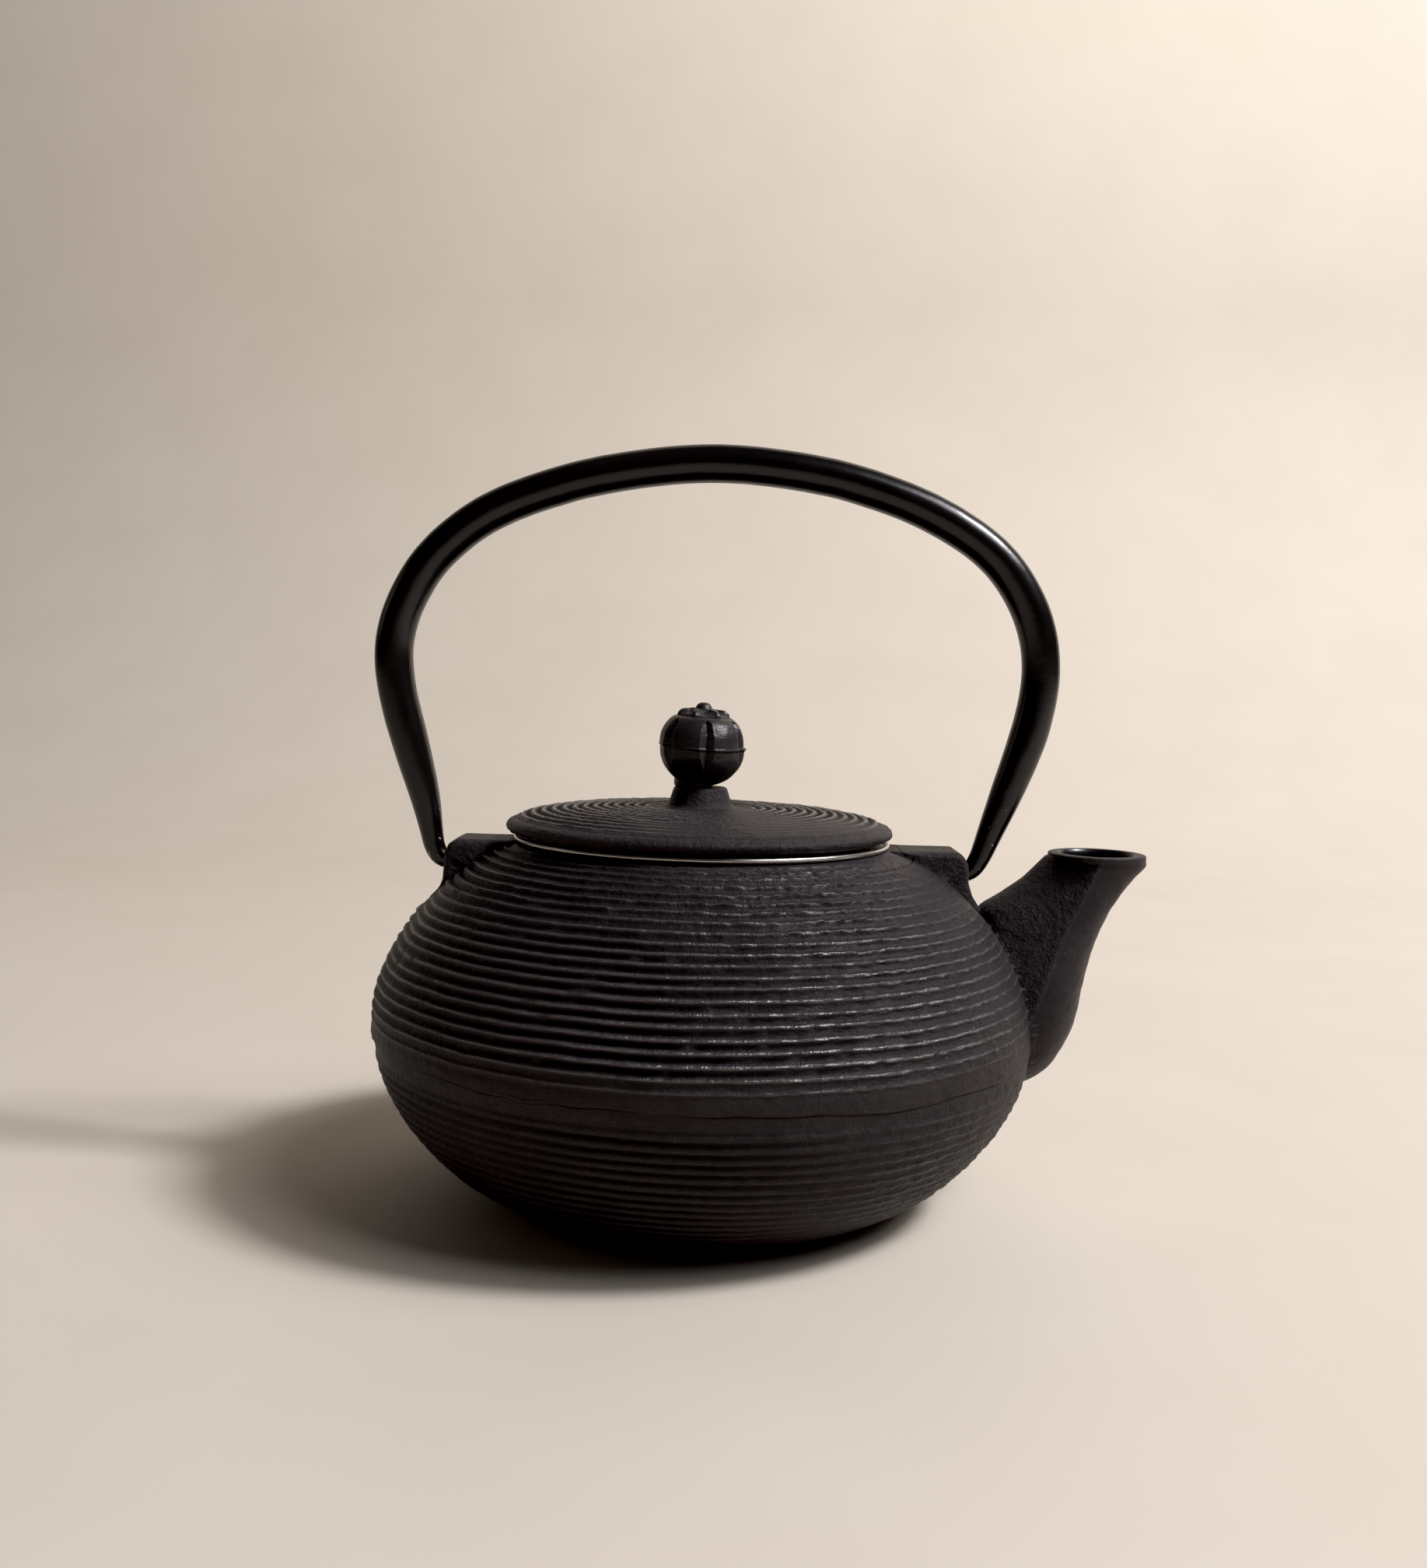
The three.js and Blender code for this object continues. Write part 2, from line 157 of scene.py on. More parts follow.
def step_along(points, step=0.35):
    """Straight segments cut into short steps."""
    points = np.asarray(points, float)
    pieces = []
    for a, b in zip(points[:-1], points[1:]):
        number = max(1, int(np.ceil(np.linalg.norm(b - a) / step)))
        pieces.append(a + (b - a) * (np.arange(number) / number)[:, None])
    return np.vstack(pieces + [points[-1][None]])


def rounded(points, radii, step=0.35, closed=True):
    """A polyline with its corners rounded; radii is one number or one per point."""
    points = np.asarray(points, float)
    number = len(points)
    if np.isscalar(radii):
        radii = [radii] * number
    pieces = []
    for i in range(number):
        corner = points[i]
        if not closed and i in (0, number - 1):
            pieces.append(corner[None])
            continue
        back, ahead = points[i - 1] - corner, points[(i + 1) % number] - corner
        back_length, ahead_length = np.linalg.norm(back), np.linalg.norm(ahead)
        back, ahead = back / back_length, ahead / ahead_length
        angle = math.acos(np.clip(back @ ahead, -1, 1))
        radius = radii[i]
        if radius <= 0 or angle > math.pi - 0.02:
            pieces.append(corner[None])
            continue
        cut = min(radius / math.tan(angle / 2), back_length * 0.48, ahead_length * 0.48)
        radius = cut * math.tan(angle / 2)
        bisector = (back + ahead) / np.linalg.norm(back + ahead)
        centre = corner + bisector * (radius / math.sin(angle / 2))
        spoke0 = corner + back * cut - centre
        spoke1 = corner + ahead * cut - centre
        sweep = math.acos(np.clip(spoke0 @ spoke1 / (radius * radius), -1, 1))
        samples = max(2, int(np.ceil(sweep * radius / step)) + 1)
        t = np.linspace(0, 1, samples)[:, None]
        arc = spoke0 * np.sin((1 - t) * sweep) + spoke1 * np.sin(t * sweep)
        pieces.append(centre + arc / max(math.sin(sweep), 1e-9))
    line = np.vstack(pieces)
    if closed:
        return step_along(np.vstack([line, line[:1]]), step)[:-1]
    return step_along(line, step)


def side_normals(line, closed=False):
    """Unit normals on the right of a plane line's direction."""
    if closed:
        along = np.roll(line, -1, 0) - np.roll(line, 1, 0)
    else:
        along = np.gradient(line, axis=0)
    along /= np.maximum(np.linalg.norm(along, axis=1), 1e-9)[:, None]
    return np.stack([along[:, 1], -along[:, 0]], 1)


def outward_normals(profile, closed):
    """Normals that point out of the area a profile encloses."""
    x, z = profile.T
    area = np.sum(x * np.roll(z, -1) - np.roll(x, -1) * z)
    return side_normals(profile, closed) * (1 if area > 0 else -1)


def noise(rows, cols, cells_along, cells_around):
    """Smooth value noise on a grid, joined up round the columns."""
    cells_along, cells_around = max(2, int(cells_along)), max(3, int(cells_around))
    grid = rng.uniform(-1, 1, (cells_along + 2, cells_around))
    v = np.linspace(0, cells_along, rows)
    u = np.arange(cols) * cells_around / cols
    i, j = np.floor(v).astype(int), np.floor(u).astype(int)
    part_v, part_u = (v - i)[:, None], (u - j)[None]
    part_v = part_v * part_v * (3 - 2 * part_v)
    part_u = part_u * part_u * (3 - 2 * part_u)
    next_j = (j + 1) % cells_around
    low = grid[i][:, j] * (1 - part_u) + grid[i][:, next_j] * part_u
    high = grid[i + 1][:, j] * (1 - part_u) + grid[i + 1][:, next_j] * part_u
    return low * (1 - part_v) + high * part_v


# ---------------------------------------------------------------- mesh tools

def add_mesh(name, points, quads, triangles=None):
    """A smooth mesh object from points in mm and arrays of point numbers."""
    points = np.asarray(points, np.float64).reshape(-1, 3) * MM
    corners, starts, sizes = [], [], []
    used = 0
    for block in (quads, triangles):
        if block is None:
            continue
        block = np.asarray(block, np.int32)
        corners.append(block.ravel())
        starts.append(used + np.arange(len(block)) * block.shape[1])
        sizes.append(np.full(len(block), block.shape[1]))
        used += block.size
    corners, starts, sizes = [np.concatenate(part) for part in (corners, starts, sizes)]
    mesh = bpy.data.meshes.new(name)
    mesh.vertices.add(len(points))
    mesh.vertices.foreach_set("co", points.astype(np.float32).ravel())
    mesh.loops.add(len(corners))
    mesh.loops.foreach_set("vertex_index", corners.astype(np.int32))
    mesh.polygons.add(len(starts))
    mesh.polygons.foreach_set("loop_start", starts.astype(np.int32))
    mesh.polygons.foreach_set("loop_total", sizes.astype(np.int32))
    mesh.polygons.foreach_set("use_smooth", np.ones(len(starts), bool))
    mesh.update(calc_edges=True)
    mesh.validate()
    ob = bpy.data.objects.new(name, mesh)
    bpy.context.scene.collection.objects.link(ob)
    return ob


def face_out(ob):
    """Turns every face round if the closed mesh encloses a negative volume."""
    bm = bmesh.new()
    bm.from_mesh(ob.data)
    if bm.calc_volume(signed=True) < 0:
        bmesh.ops.reverse_faces(bm, faces=bm.faces)
        bm.to_mesh(ob.data)
    bm.free()
    return ob


def skin_rings(name, rings, looped=False):
    """A closed skin over (rows, columns, 3) points. The last row joins the first if looped,
    otherwise each end is closed by a fan to its middle."""
    rows, cols = rings.shape[:2]
    index = np.arange(rows * cols).reshape(rows, cols)
    following = np.roll(index, -1, axis=1)
    quads = np.stack([index[:-1], following[:-1], following[1:], index[1:]], -1).reshape(-1, 4)
    points = rings.reshape(-1, 3)
    triangles = None
    if looped:
        last = np.stack([index[-1], following[-1], following[0], index[0]], -1)
        quads = np.concatenate([quads, last])
    else:
        pole = len(points)
        points = np.concatenate([points, rings[0].mean(0)[None], rings[-1].mean(0)[None]])
        triangles = np.concatenate([
            np.stack([following[0], index[0], np.full(cols, pole)], -1),
            np.stack([index[-1], following[-1], np.full(cols, pole + 1)], -1)])
    return face_out(add_mesh(name, points, quads, triangles))


def revolve(radius, z, angles):
    """Rings of points from columns of radius and height."""
    return np.stack(np.broadcast_arrays(radius * np.cos(angles), radius * np.sin(angles), z), -1)


def turned(name, profile, cols, closed=True, shift=0.0, rough=0.0):
    """A lathed piece from a fine (radius, height) profile. shift moves points along their
    normals; rough is the height of added noise with cells of about 2.2 mm."""
    cell = 2.2
    profile = np.asarray(profile, float)
    normal = outward_normals(profile, closed)
    if rough:
        length = np.sum(np.linalg.norm(np.diff(profile, axis=0), axis=1))
        girth = 2 * np.pi * profile[:, 0].mean()
        shift = shift + rough * noise(len(profile), cols, length / cell, girth / cell)
    rings = revolve(profile[:, :1] + normal[:, :1] * shift,
                    profile[:, 1:] + normal[:, 1:] * shift, round_angles(cols))
    return skin_rings(name, rings, looped=closed)


def boolean(ob, tool, operation, material_mode="INDEX"):
    """Joins or cuts with another object, which is used up."""
    modifier = ob.modifiers.new("b", "BOOLEAN")
    modifier.operation = operation
    modifier.object = tool
    modifier.solver = "MANIFOLD"
    modifier.material_mode = material_mode
    graph = bpy.context.evaluated_depsgraph_get()
    mesh = bpy.data.meshes.new_from_object(
        ob.evaluated_get(graph), preserve_all_data_layers=True, depsgraph=graph)
    old = ob.data
    ob.modifiers.clear()
    ob.data = mesh
    bpy.data.meshes.remove(old)
    bpy.data.objects.remove(tool)


def points_of(ob):
    """The object's points in metres."""
    points = np.zeros(len(ob.data.vertices) * 3, np.float32)
    ob.data.vertices.foreach_get("co", points)
    return points.reshape(-1, 3).astype(float)


def edges_of(ob):
    edges = np.zeros(len(ob.data.edges) * 2, np.int32)
    ob.data.edges.foreach_get("vertices", edges)
    return edges.reshape(-1, 2)


def soften(ob, weight_of, rounds, pull=0.5):
    """Relaxes the surface where the weight is above zero, so a hard join becomes a fillet."""
    points = points_of(ob)
    number = len(points)
    weight = weight_of(points / MM)
    touched = weight > 1e-3
    edges = edges_of(ob)
    start, end = edges[touched[edges[:, 0]] | touched[edges[:, 1]]].T
    neighbours = np.bincount(np.r_[start, end], minlength=number).astype(float)
    neighbours[neighbours == 0] = 1
    for _ in range(rounds):
        mean = np.zeros_like(points)
        for k in range(3):
            mean[:, k] = (np.bincount(start, points[end, k], number)
                          + np.bincount(end, points[start, k], number)) / neighbours
        points[touched] += (mean[touched] - points[touched]) * (weight[touched] * pull)[:, None]
    ob.data.vertices.foreach_set("co", points.astype(np.float32).ravel())
    ob.data.update()


def shade(ob, angle):
    """Smooth shading, with edges sharper than the angle in degrees kept sharp."""
    mesh = ob.data
    mesh.polygons.foreach_set("use_smooth", np.ones(len(mesh.polygons), bool))
    mesh.set_sharp_from_angle(angle=math.radians(angle))
    mesh.update()


def mark_sharp(ob, line):
    """Marks the edges that run along a line of known points (mm)."""
    tree = KDTree(len(line))
    for i, point in enumerate(line):
        tree.insert(point, i)
    tree.balance()
    points = points_of(ob) / MM
    boxed = np.all((points > line.min(0) - 0.1) & (points < line.max(0) + 0.1), axis=1)
    on_line = np.zeros(len(points), bool)
    for i in np.nonzero(boxed)[0]:
        on_line[i] = tree.find(points[i])[2] < 0.02
    edges = edges_of(ob)
    attributes = ob.data.attributes
    sharp = attributes.get("sharp_edge") or attributes.new("sharp_edge", "BOOLEAN", "EDGE")
    values = np.zeros(len(edges), bool)
    sharp.data.foreach_get("value", values)
    sharp.data.foreach_set("value", values | (on_line[edges[:, 0]] & on_line[edges[:, 1]]))
    ob.data.update()


def set_attribute(ob, name, values):
    attribute = ob.data.attributes.new(name, "FLOAT", "POINT")
    attribute.data.foreach_set("value", np.asarray(values, np.float32))


def move_x(ob, x):
    ob.data.transform(Matrix.Translation((x * MM, 0, 0)))


def register(ob, body, cad_piece):
    """Tells the frame what the object moves with, and hides the CAD piece it replaces."""
    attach(ob, body)
    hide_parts(cad_piece)


def finish_piece(ob, material, sharp_angle, body, cad_piece):
    ob.data.materials.append(material)
    shade(ob, sharp_angle)
    register(ob, body, cad_piece)


# ---------------------------------------------------------------- materials

class Shader:
    """Builds a node material; texture space is the object's own, in mm."""

    INPUTS = {"color": "Base Color", "roughness": "Roughness", "metallic": "Metallic",
              "normal": "Normal", "ior": "IOR", "specular": "Specular IOR Level"}

    def __init__(self, name):
        self.material = bpy.data.materials.new(name)
        self.material.use_nodes = True
        self.tree = self.material.node_tree
        self.tree.nodes.clear()
        output = self.node("ShaderNodeOutputMaterial")
        self.surface = self.node("ShaderNodeBsdfPrincipled")
        self.set(output.inputs[0], self.surface.outputs[0])
        place = self.node("ShaderNodeTexCoord")
        self.place = self.scaled(place.outputs["Object"], (1000.0, 1000.0, 1000.0))

    def node(self, kind, **values):
        node = self.tree.nodes.new(kind)
        for key, value in values.items():
            setattr(node, key, value)
        return node

    def set(self, socket, value):
        """Links a socket, or sets a plain value."""
        if isinstance(value, bpy.types.NodeSocket):
            self.tree.links.new(value, socket)
        else:
            socket.default_value = value

    def scaled(self, vector, factors):
        node = self.node("ShaderNodeVectorMath", operation="MULTIPLY")
        self.set(node.inputs[0], vector)
        node.inputs[1].default_value = factors
        return node.outputs[0]

    def noise(self, size, detail=3.0, rough=0.6, vector=None, distortion=0.0):
        """Noise whose features are about size mm."""
        node = self.node("ShaderNodeTexNoise")
        self.set(node.inputs["Vector"], vector or self.place)
        node.inputs["Scale"].default_value = 1.0 / size
        node.inputs["Detail"].default_value = detail
        node.inputs["Roughness"].default_value = rough
        node.inputs["Distortion"].default_value = distortion
        return node.outputs[0]

    def cells(self, size, smooth=None):
        """Distance to the middle of cells of about size mm."""
        feature = "F1" if smooth is None else "SMOOTH_F1"
        node = self.node("ShaderNodeTexVoronoi", feature=feature)
        self.set(node.inputs["Vector"], self.place)
        node.inputs["Scale"].default_value = 1.0 / size
        if smooth is not None:
            node.inputs["Smoothness"].default_value = smooth
        return node.outputs["Distance"]

    def ramp(self, value, start, end, before=0.0, after=1.0):
        """Goes from one grey to another as the value goes from start to end."""
        node = self.node("ShaderNodeValToRGB")
        stops = ((start, before), (end, after))
        for element, (position, grey) in zip(node.color_ramp.elements, stops):
            element.position = position
            element.color = (grey, grey, grey, 1)
        self.set(node.inputs[0], value)
        return node.outputs[0]

    def height(self):
        node = self.node("ShaderNodeSeparateXYZ")
        self.set(node.inputs[0], self.place)
        return node.outputs[2]

    def height_ramp(self, z, start, end, before=0.0, after=1.0):
        """A ramp over height in mm; ramps only reach from 0 to 1, so it works in units of 100."""
        return self.ramp(self.multiply(z, 0.01), start / 100, end / 100, before, after)

    def attribute(self, name):
        return self.node("ShaderNodeAttribute", attribute_name=name).outputs["Fac"]

    def math(self, operation, first, second):
        node = self.node("ShaderNodeMath", operation=operation)
        self.set(node.inputs[0], first)
        self.set(node.inputs[1], second)
        return node.outputs[0]

    def add(self, first, second):
        return self.math("ADD", first, second)

    def subtract(self, first, second):
        return self.math("SUBTRACT", first, second)

    def multiply(self, first, second):
        return self.math("MULTIPLY", first, second)

    def spread(self, value, base, span):
        return self.add(self.multiply(value, span), base)

    def mix(self, factor, first, second):
        """Mixes two colours, each a socket or an (r, g, b) tuple."""
        node = self.node("ShaderNodeMix", data_type="RGBA", blend_type="MIX")
        self.set(node.inputs["Factor"], factor)
        for socket, color in ((node.inputs[6], first), (node.inputs[7], second)):
            self.set(socket, (*color, 1) if isinstance(color, tuple) else color)
        return node.outputs[2]

    def bump(self, height, depth, strength, over=None):
        """Surface relief depth mm deep, over another bump."""
        node = self.node("ShaderNodeBump")
        node.inputs["Strength"].default_value = strength
        node.inputs["Distance"].default_value = depth * MM
        self.set(node.inputs["Height"], height)
        if over is not None:
            self.set(node.inputs["Normal"], over)
        return node.outputs[0]

    def finish(self, **values):
        for key, value in values.items():
            self.set(self.surface.inputs[self.INPUTS[key]], value)
        return self.material


def iron(name, tone=1.0, grain=1.0, gloss=0.0, relief=False, band=False):
    """Sand-cast iron under a thin matt brown-black lacquer. The points carry how coarse the
    casting is ("grain") and, where relief is on, how far up a rib they are ("relief")."""
    mat = Shader(name)
    grit = mat.noise(size=0.42)
    sand = mat.noise(size=0.95, detail=4, rough=0.62, distortion=0.3)
    lumps = mat.noise(size=2.4, distortion=0.5)
    broad = mat.noise(size=16, rough=0.55)
    pits = mat.cells(size=1.7, smooth=0.4)

    def toned(r, g, b):
        return r * tone, g * tone, b * tone

    # brown-black, lighter on the lumps and darker in the grit
    color = mat.mix(mat.ramp(broad, start=0.34, end=0.66),
                    toned(0.0198, 0.0168, 0.0186), toned(0.0262, 0.0218, 0.0234))
    color = mat.mix(mat.ramp(lumps, start=0.44, end=0.70, after=0.5),
                    color, toned(0.0338, 0.0282, 0.0300))
    color = mat.mix(mat.ramp(grit, start=0.56, end=0.80, after=0.6),
                    color, toned(0.0085, 0.0074, 0.0080))
    if relief:
        # painted glints: pale flecks that stand for light glinting off sand grains
        glint_fleck = mat.multiply(
            mat.ramp(mat.noise(size=0.62, detail=2, rough=0.5), start=0.715, end=0.745,
                     after=0.75),
            mat.ramp(broad, start=0.40, end=0.62, before=0.25))
        color = mat.mix(glint_fleck, color, toned(0.120, 0.108, 0.104))
    # shares of the broad and the sand noise over a base that gloss lowers
    roughness = mat.add(mat.multiply(broad, 0.12), mat.multiply(sand, 0.18))
    roughness = mat.add(roughness, 0.31 - 0.06 * gloss)
    specular = 0.11 + 0.14 * gloss
    if relief:
        # painted shade darkens the grooves, which are also duller; the crests are lighter, partly
        # wear and partly painted highlight, and glossier
        height = mat.attribute("relief")
        groove = mat.ramp(height, start=0.03, end=0.34, before=1.0, after=0.0)
        color = mat.mix(mat.multiply(groove, 0.88), color, toned(0.0030, 0.0026, 0.0029))
        crest = mat.ramp(height, start=0.54, end=0.90, after=0.9)
        color = mat.mix(crest, color, toned(0.0480, 0.0426, 0.0470))
        roughness = mat.add(roughness, mat.multiply(groove, 0.16))
        roughness = mat.subtract(roughness, mat.multiply(crest, 0.19))
        specular = mat.add(mat.subtract(specular, mat.multiply(groove, 0.08)),
                           mat.multiply(crest, 1.05))
    if band:
        # a calmer, tinted band round the middle; noise of up to 2.4 mm waves its edges
        z = mat.add(mat.height(), mat.multiply(mat.noise(size=9, detail=2, rough=0.5), 2.4))
        inside = mat.multiply(
            mat.height_ramp(z, start=35.2, end=36.2),
            mat.height_ramp(z, start=40.5, end=42.5, before=1.0, after=0.0))
        color = mat.mix(mat.multiply(inside, 0.35), color, toned(0.0240, 0.0190, 0.0185))
        calm = mat.subtract(1.0, mat.multiply(inside, 0.4))
        lumps = mat.multiply(lumps, calm)
        sand = mat.multiply(sand, calm)
    coarse = mat.attribute("grain")
    pitted = mat.add(mat.multiply(pits, 0.5), lumps)
    normal = mat.bump(mat.multiply(pitted, coarse), depth=0.42 * grain, strength=0.50)
    normal = mat.bump(mat.multiply(sand, coarse), depth=0.34 * grain, strength=0.95, over=normal)
    normal = mat.bump(mat.multiply(grit, coarse), depth=0.16 * grain, strength=0.95, over=normal)
    return mat.finish(color=color, roughness=roughness, metallic=0.0, normal=normal, ior=1.5,
                      specular=specular)


def tube_lacquer(name):
    """Satin black lacquer on tube, with a few small pale chips near the ends."""
    mat = Shader(name)
    peel = mat.noise(size=1.3, detail=2, rough=0.5)
    fine = mat.noise(size=0.35)
    broad = mat.noise(size=22, detail=2, rough=0.5)
    color = mat.mix(mat.ramp(broad, start=0.35, end=0.7),
                    (0.0034, 0.0028, 0.0028), (0.0062, 0.0049, 0.0046))
    dust = mat.ramp(mat.noise(size=0.8), start=0.68, end=0.82, after=0.35)
    color = mat.mix(dust, color, (0.022, 0.018, 0.016))
    low = mat.height_ramp(mat.height(), start=77, end=90, before=1.0, after=0.0)
    chip = mat.multiply(
        mat.ramp(mat.noise(size=1.15, detail=1, rough=0.4), start=0.735, end=0.755), low)
    color = mat.mix(chip, color, (0.30, 0.26, 0.22))
    roughness = mat.spread(mat.noise(size=4.5), base=0.185, span=0.10)
    roughness = mat.add(roughness, mat.multiply(chip, 0.3))  # chips are duller
    normal = mat.bump(peel, depth=0.060, strength=0.45)
    normal = mat.bump(fine, depth=0.022, strength=0.6, over=normal)
    normal = mat.bump(chip, depth=0.04, strength=1.0, over=normal)
    return mat.finish(color=color, roughness=roughness, metallic=0.0, normal=normal, ior=1.5,
                      specular=0.40)


def steel(name, base, line_density, rough):
    """Steel with fine draw lines; line_density is how tightly they repeat on x, y and z."""
    mat = Shader(name)
    lines = mat.noise(size=1.0, vector=mat.scaled(mat.place, line_density))
    smear = mat.noise(size=6, rough=0.55)
    darker = tuple(channel * 0.82 for channel in base)
    color = mat.mix(mat.ramp(smear, start=0.35, end=0.7), base, darker)
    roughness = mat.spread(lines, base=rough, span=0.16)
    normal = mat.bump(lines, depth=0.02, strength=0.5)
    dents = mat.noise(size=2.6, detail=2, rough=0.5)
    normal = mat.bump(dents, depth=0.05, strength=0.3, over=normal)
    return mat.finish(color=color, roughness=roughness, metallic=1.0, normal=normal)


def enamel(name):
    """Black glass enamel, slightly wavy, with tiny pinholes."""
    mat = Shader(name)
    wave = mat.noise(size=7, detail=2, rough=0.5)
    pinholes = mat.ramp(mat.cells(size=2.2), start=0.0, end=0.07)
    mottle = mat.ramp(mat.noise(size=0.8, detail=2, rough=0.5), start=0.45, end=0.7, after=0.4)
    color = mat.mix(mottle, (0.006, 0.006, 0.007), (0.012, 0.012, 0.013))
    normal = mat.bump(wave, depth=0.22, strength=0.5)
    normal = mat.bump(pinholes, depth=0.05, strength=0.5, over=normal)
    roughness = mat.spread(mat.noise(size=3.0), base=0.22, span=0.12)
    return mat.finish(color=color, roughness=roughness, normal=normal, specular=0.4)


POT_IRON = iron("iron_pot", relief=True, band=True)
LID_IRON = iron("iron_lid", tone=1.05, grain=1.05, relief=True)
KNOB_IRON = iron("iron_knob", tone=0.70, grain=0.30, gloss=1.6)
BAIL_LACQUER = tube_lacquer("bail_lacquer")
RIM_STEEL = steel("stainless_rim", base=(0.62, 0.60, 0.57), line_density=(0.12, 0.12, 9.0),
                  rough=0.2)
MESH_STEEL = steel("stainless_perforated", base=(0.55, 0.54, 0.52), line_density=(0.1, 0.1, 6.0),
                   rough=0.26)
RIVET_STEEL = steel("rivet_steel", base=(0.34, 0.33, 0.32), line_density=(0.5, 0.5, 0.5),
                    rough=0.34)
ENAMEL = enamel("enamel_lining")


# ---------------------------------------------------------------- pot casting

# outside of the pot from foot to shoulder: radius, height
OUTLINE = np.array([
    (41.2, 0.0), (44.2, 0.7), (47.22, 1.79), (50.0, 3.2), (52.68, 4.83), (55.2, 6.7),
    (57.59, 8.7), (59.9, 10.85), (62.01, 13.11), (64.0, 15.5), (65.89, 18.01), (67.6, 20.65),
    (69.11, 23.37), (70.4, 26.2), (71.44, 29.16), (72.15, 32.2), (72.47, 35.32), (72.45, 38.4),
    (72.11, 41.55), (71.48, 44.6), (70.56, 47.6), (69.4, 50.5), (68.04, 53.32), (66.5, 56.05),
    (64.83, 58.68), (63.0, 61.23), (61.04, 63.65), (58.93, 65.96), (56.66, 68.11), (54.2, 70.1),
    (51.7, 71.91), (49.0, 73.56), (46.26, 74.99), (43.4, 76.22), (40.9, 77.1)]) * SCALE
# heights of the rib crests above and below the parting line, before SCALE
RIBS_TOP = [75.7, 74.75, 73.6, 72.25, 70.9, 69.5, 68.0, 66.3, 64.5, 62.8, 61.05, 59.1, 57.4,
            55.3, 53.1, 51.2, 48.9, 46.8, 44.5, 42.1, 39.9]
RIBS_LOW = [31.5, 29.0, 26.7, 24.6, 22.5, 19.95, 17.8, 15.7, 13.8, 11.9, 10.1, 8.4, 6.8, 5.3]
PARTING_Z = 36.0 * SCALE        # the mould's parting line
WALL = 3.4 * SCALE
POT_COLS = count(560)
POT_ROWS = count(500)

curve, curve_length = trace(OUTLINE)
LENGTH = curve_length[-1]

# spout slices: height, inner x, flank-edge x, nose x, half width at the flank edge and inside
SPOUT = np.array([
    (24.9, 60, 66.0, 70.6, 4.6, 4.0), (26.8, 60, 66.2, 74.6, 8.8, 7.0),
    (29.0, 60, 66.6, 77.5, 11.6, 9.4), (32.3, 60, 67.5, 79.9, 14.0, 11.0),
    (35.9, 60, 68.5, 81.7, 15.6, 12.0), (39.5, 60, 69.3, 83.1, 16.4, 12.5),
    (43.1, 60, 70.5, 83.9, 16.8, 12.3), (46.6, 60, 71.9, 84.5, 16.5, 11.4),
    (50.2, 60, 73.5, 85.1, 15.8, 10.0), (53.7, 60, 75.0, 86.0, 14.8, 8.6),
    (57.3, 60, 76.5, 87.05, 13.8, 7.2), (60.9, 60, 78.0, 88.4, 12.9, 6.0),
    (64.4, 61.4, 79.8, 90.1, 12.1, 5.0), (68.0, 66.7, 81.7, 92.4, 11.4, 4.4),
    (71.3, 71.1, 83.5, 94.9, 10.8, 3.9), (74.5, 74.2, 84.9, 97.9, 10.5, 3.3),
    (76.3, 75.9, 85.6, 99.2, 10.4, 2.8), (77.3, 76.9, 86.0, 99.9, 10.3, 2.6)]) * SCALE
SPOUT_SLICES = smooth_curve(SPOUT, 400)

# channel inside the spout: height, inner x, outer x, half width
SPOUT_BORE = np.array([
    (29.5, 63, 72.0, 5.5), (33, 60, 76.6, 8.8), (38, 60, 79.4, 10), (44, 60, 81.0, 10),
    (50, 63.0, 82.1, 9.4), (56, 67.5, 83.4, 8.6), (62, 71.6, 85.6, 7.8), (68, 75.6, 89.2, 7.4),
    (72, 78.4, 92.6, 7.6), (74.6, 79.2, 95.2, 7.95), (76.6, 79.3, 95.5, 8.1),
    (77.0, 79.05, 95.75, 8.35), (77.3, 78.7, 96.1, 8.7), (79.5, 77.0, 97.8, 10.4)]) * SCALE

# lug outlines by side of the pot (+1 is the spout's): distance from the axis, height
LUGS = {
    1: [(33, 58), (33, 77.2), (55.9, 77.2), (57.2, 76.0), (58.05, 74.6), (58.2, 73.4),
        (58.3, 70.4), (58.9, 67.6), (60.9, 64.6), (57, 57)],
    -1: [(33, 58), (33, 77.3), (54.4, 77.3), (56.5, 76.2), (57.3, 74.3), (57.55, 71.3),
         (57.8, 68.0), (58.7, 66.2), (60.7, 64.2), (57, 57)]}
LUG_RADII = [0, 0.3, 1.6, 1.2, 1.2, 2, 4, 4, 0.2, 0]


def length_at(height):
    """Length along the outline at a height given before SCALE."""
    return np.interp(np.asarray(height) * SCALE, curve[:, 1], curve_length)


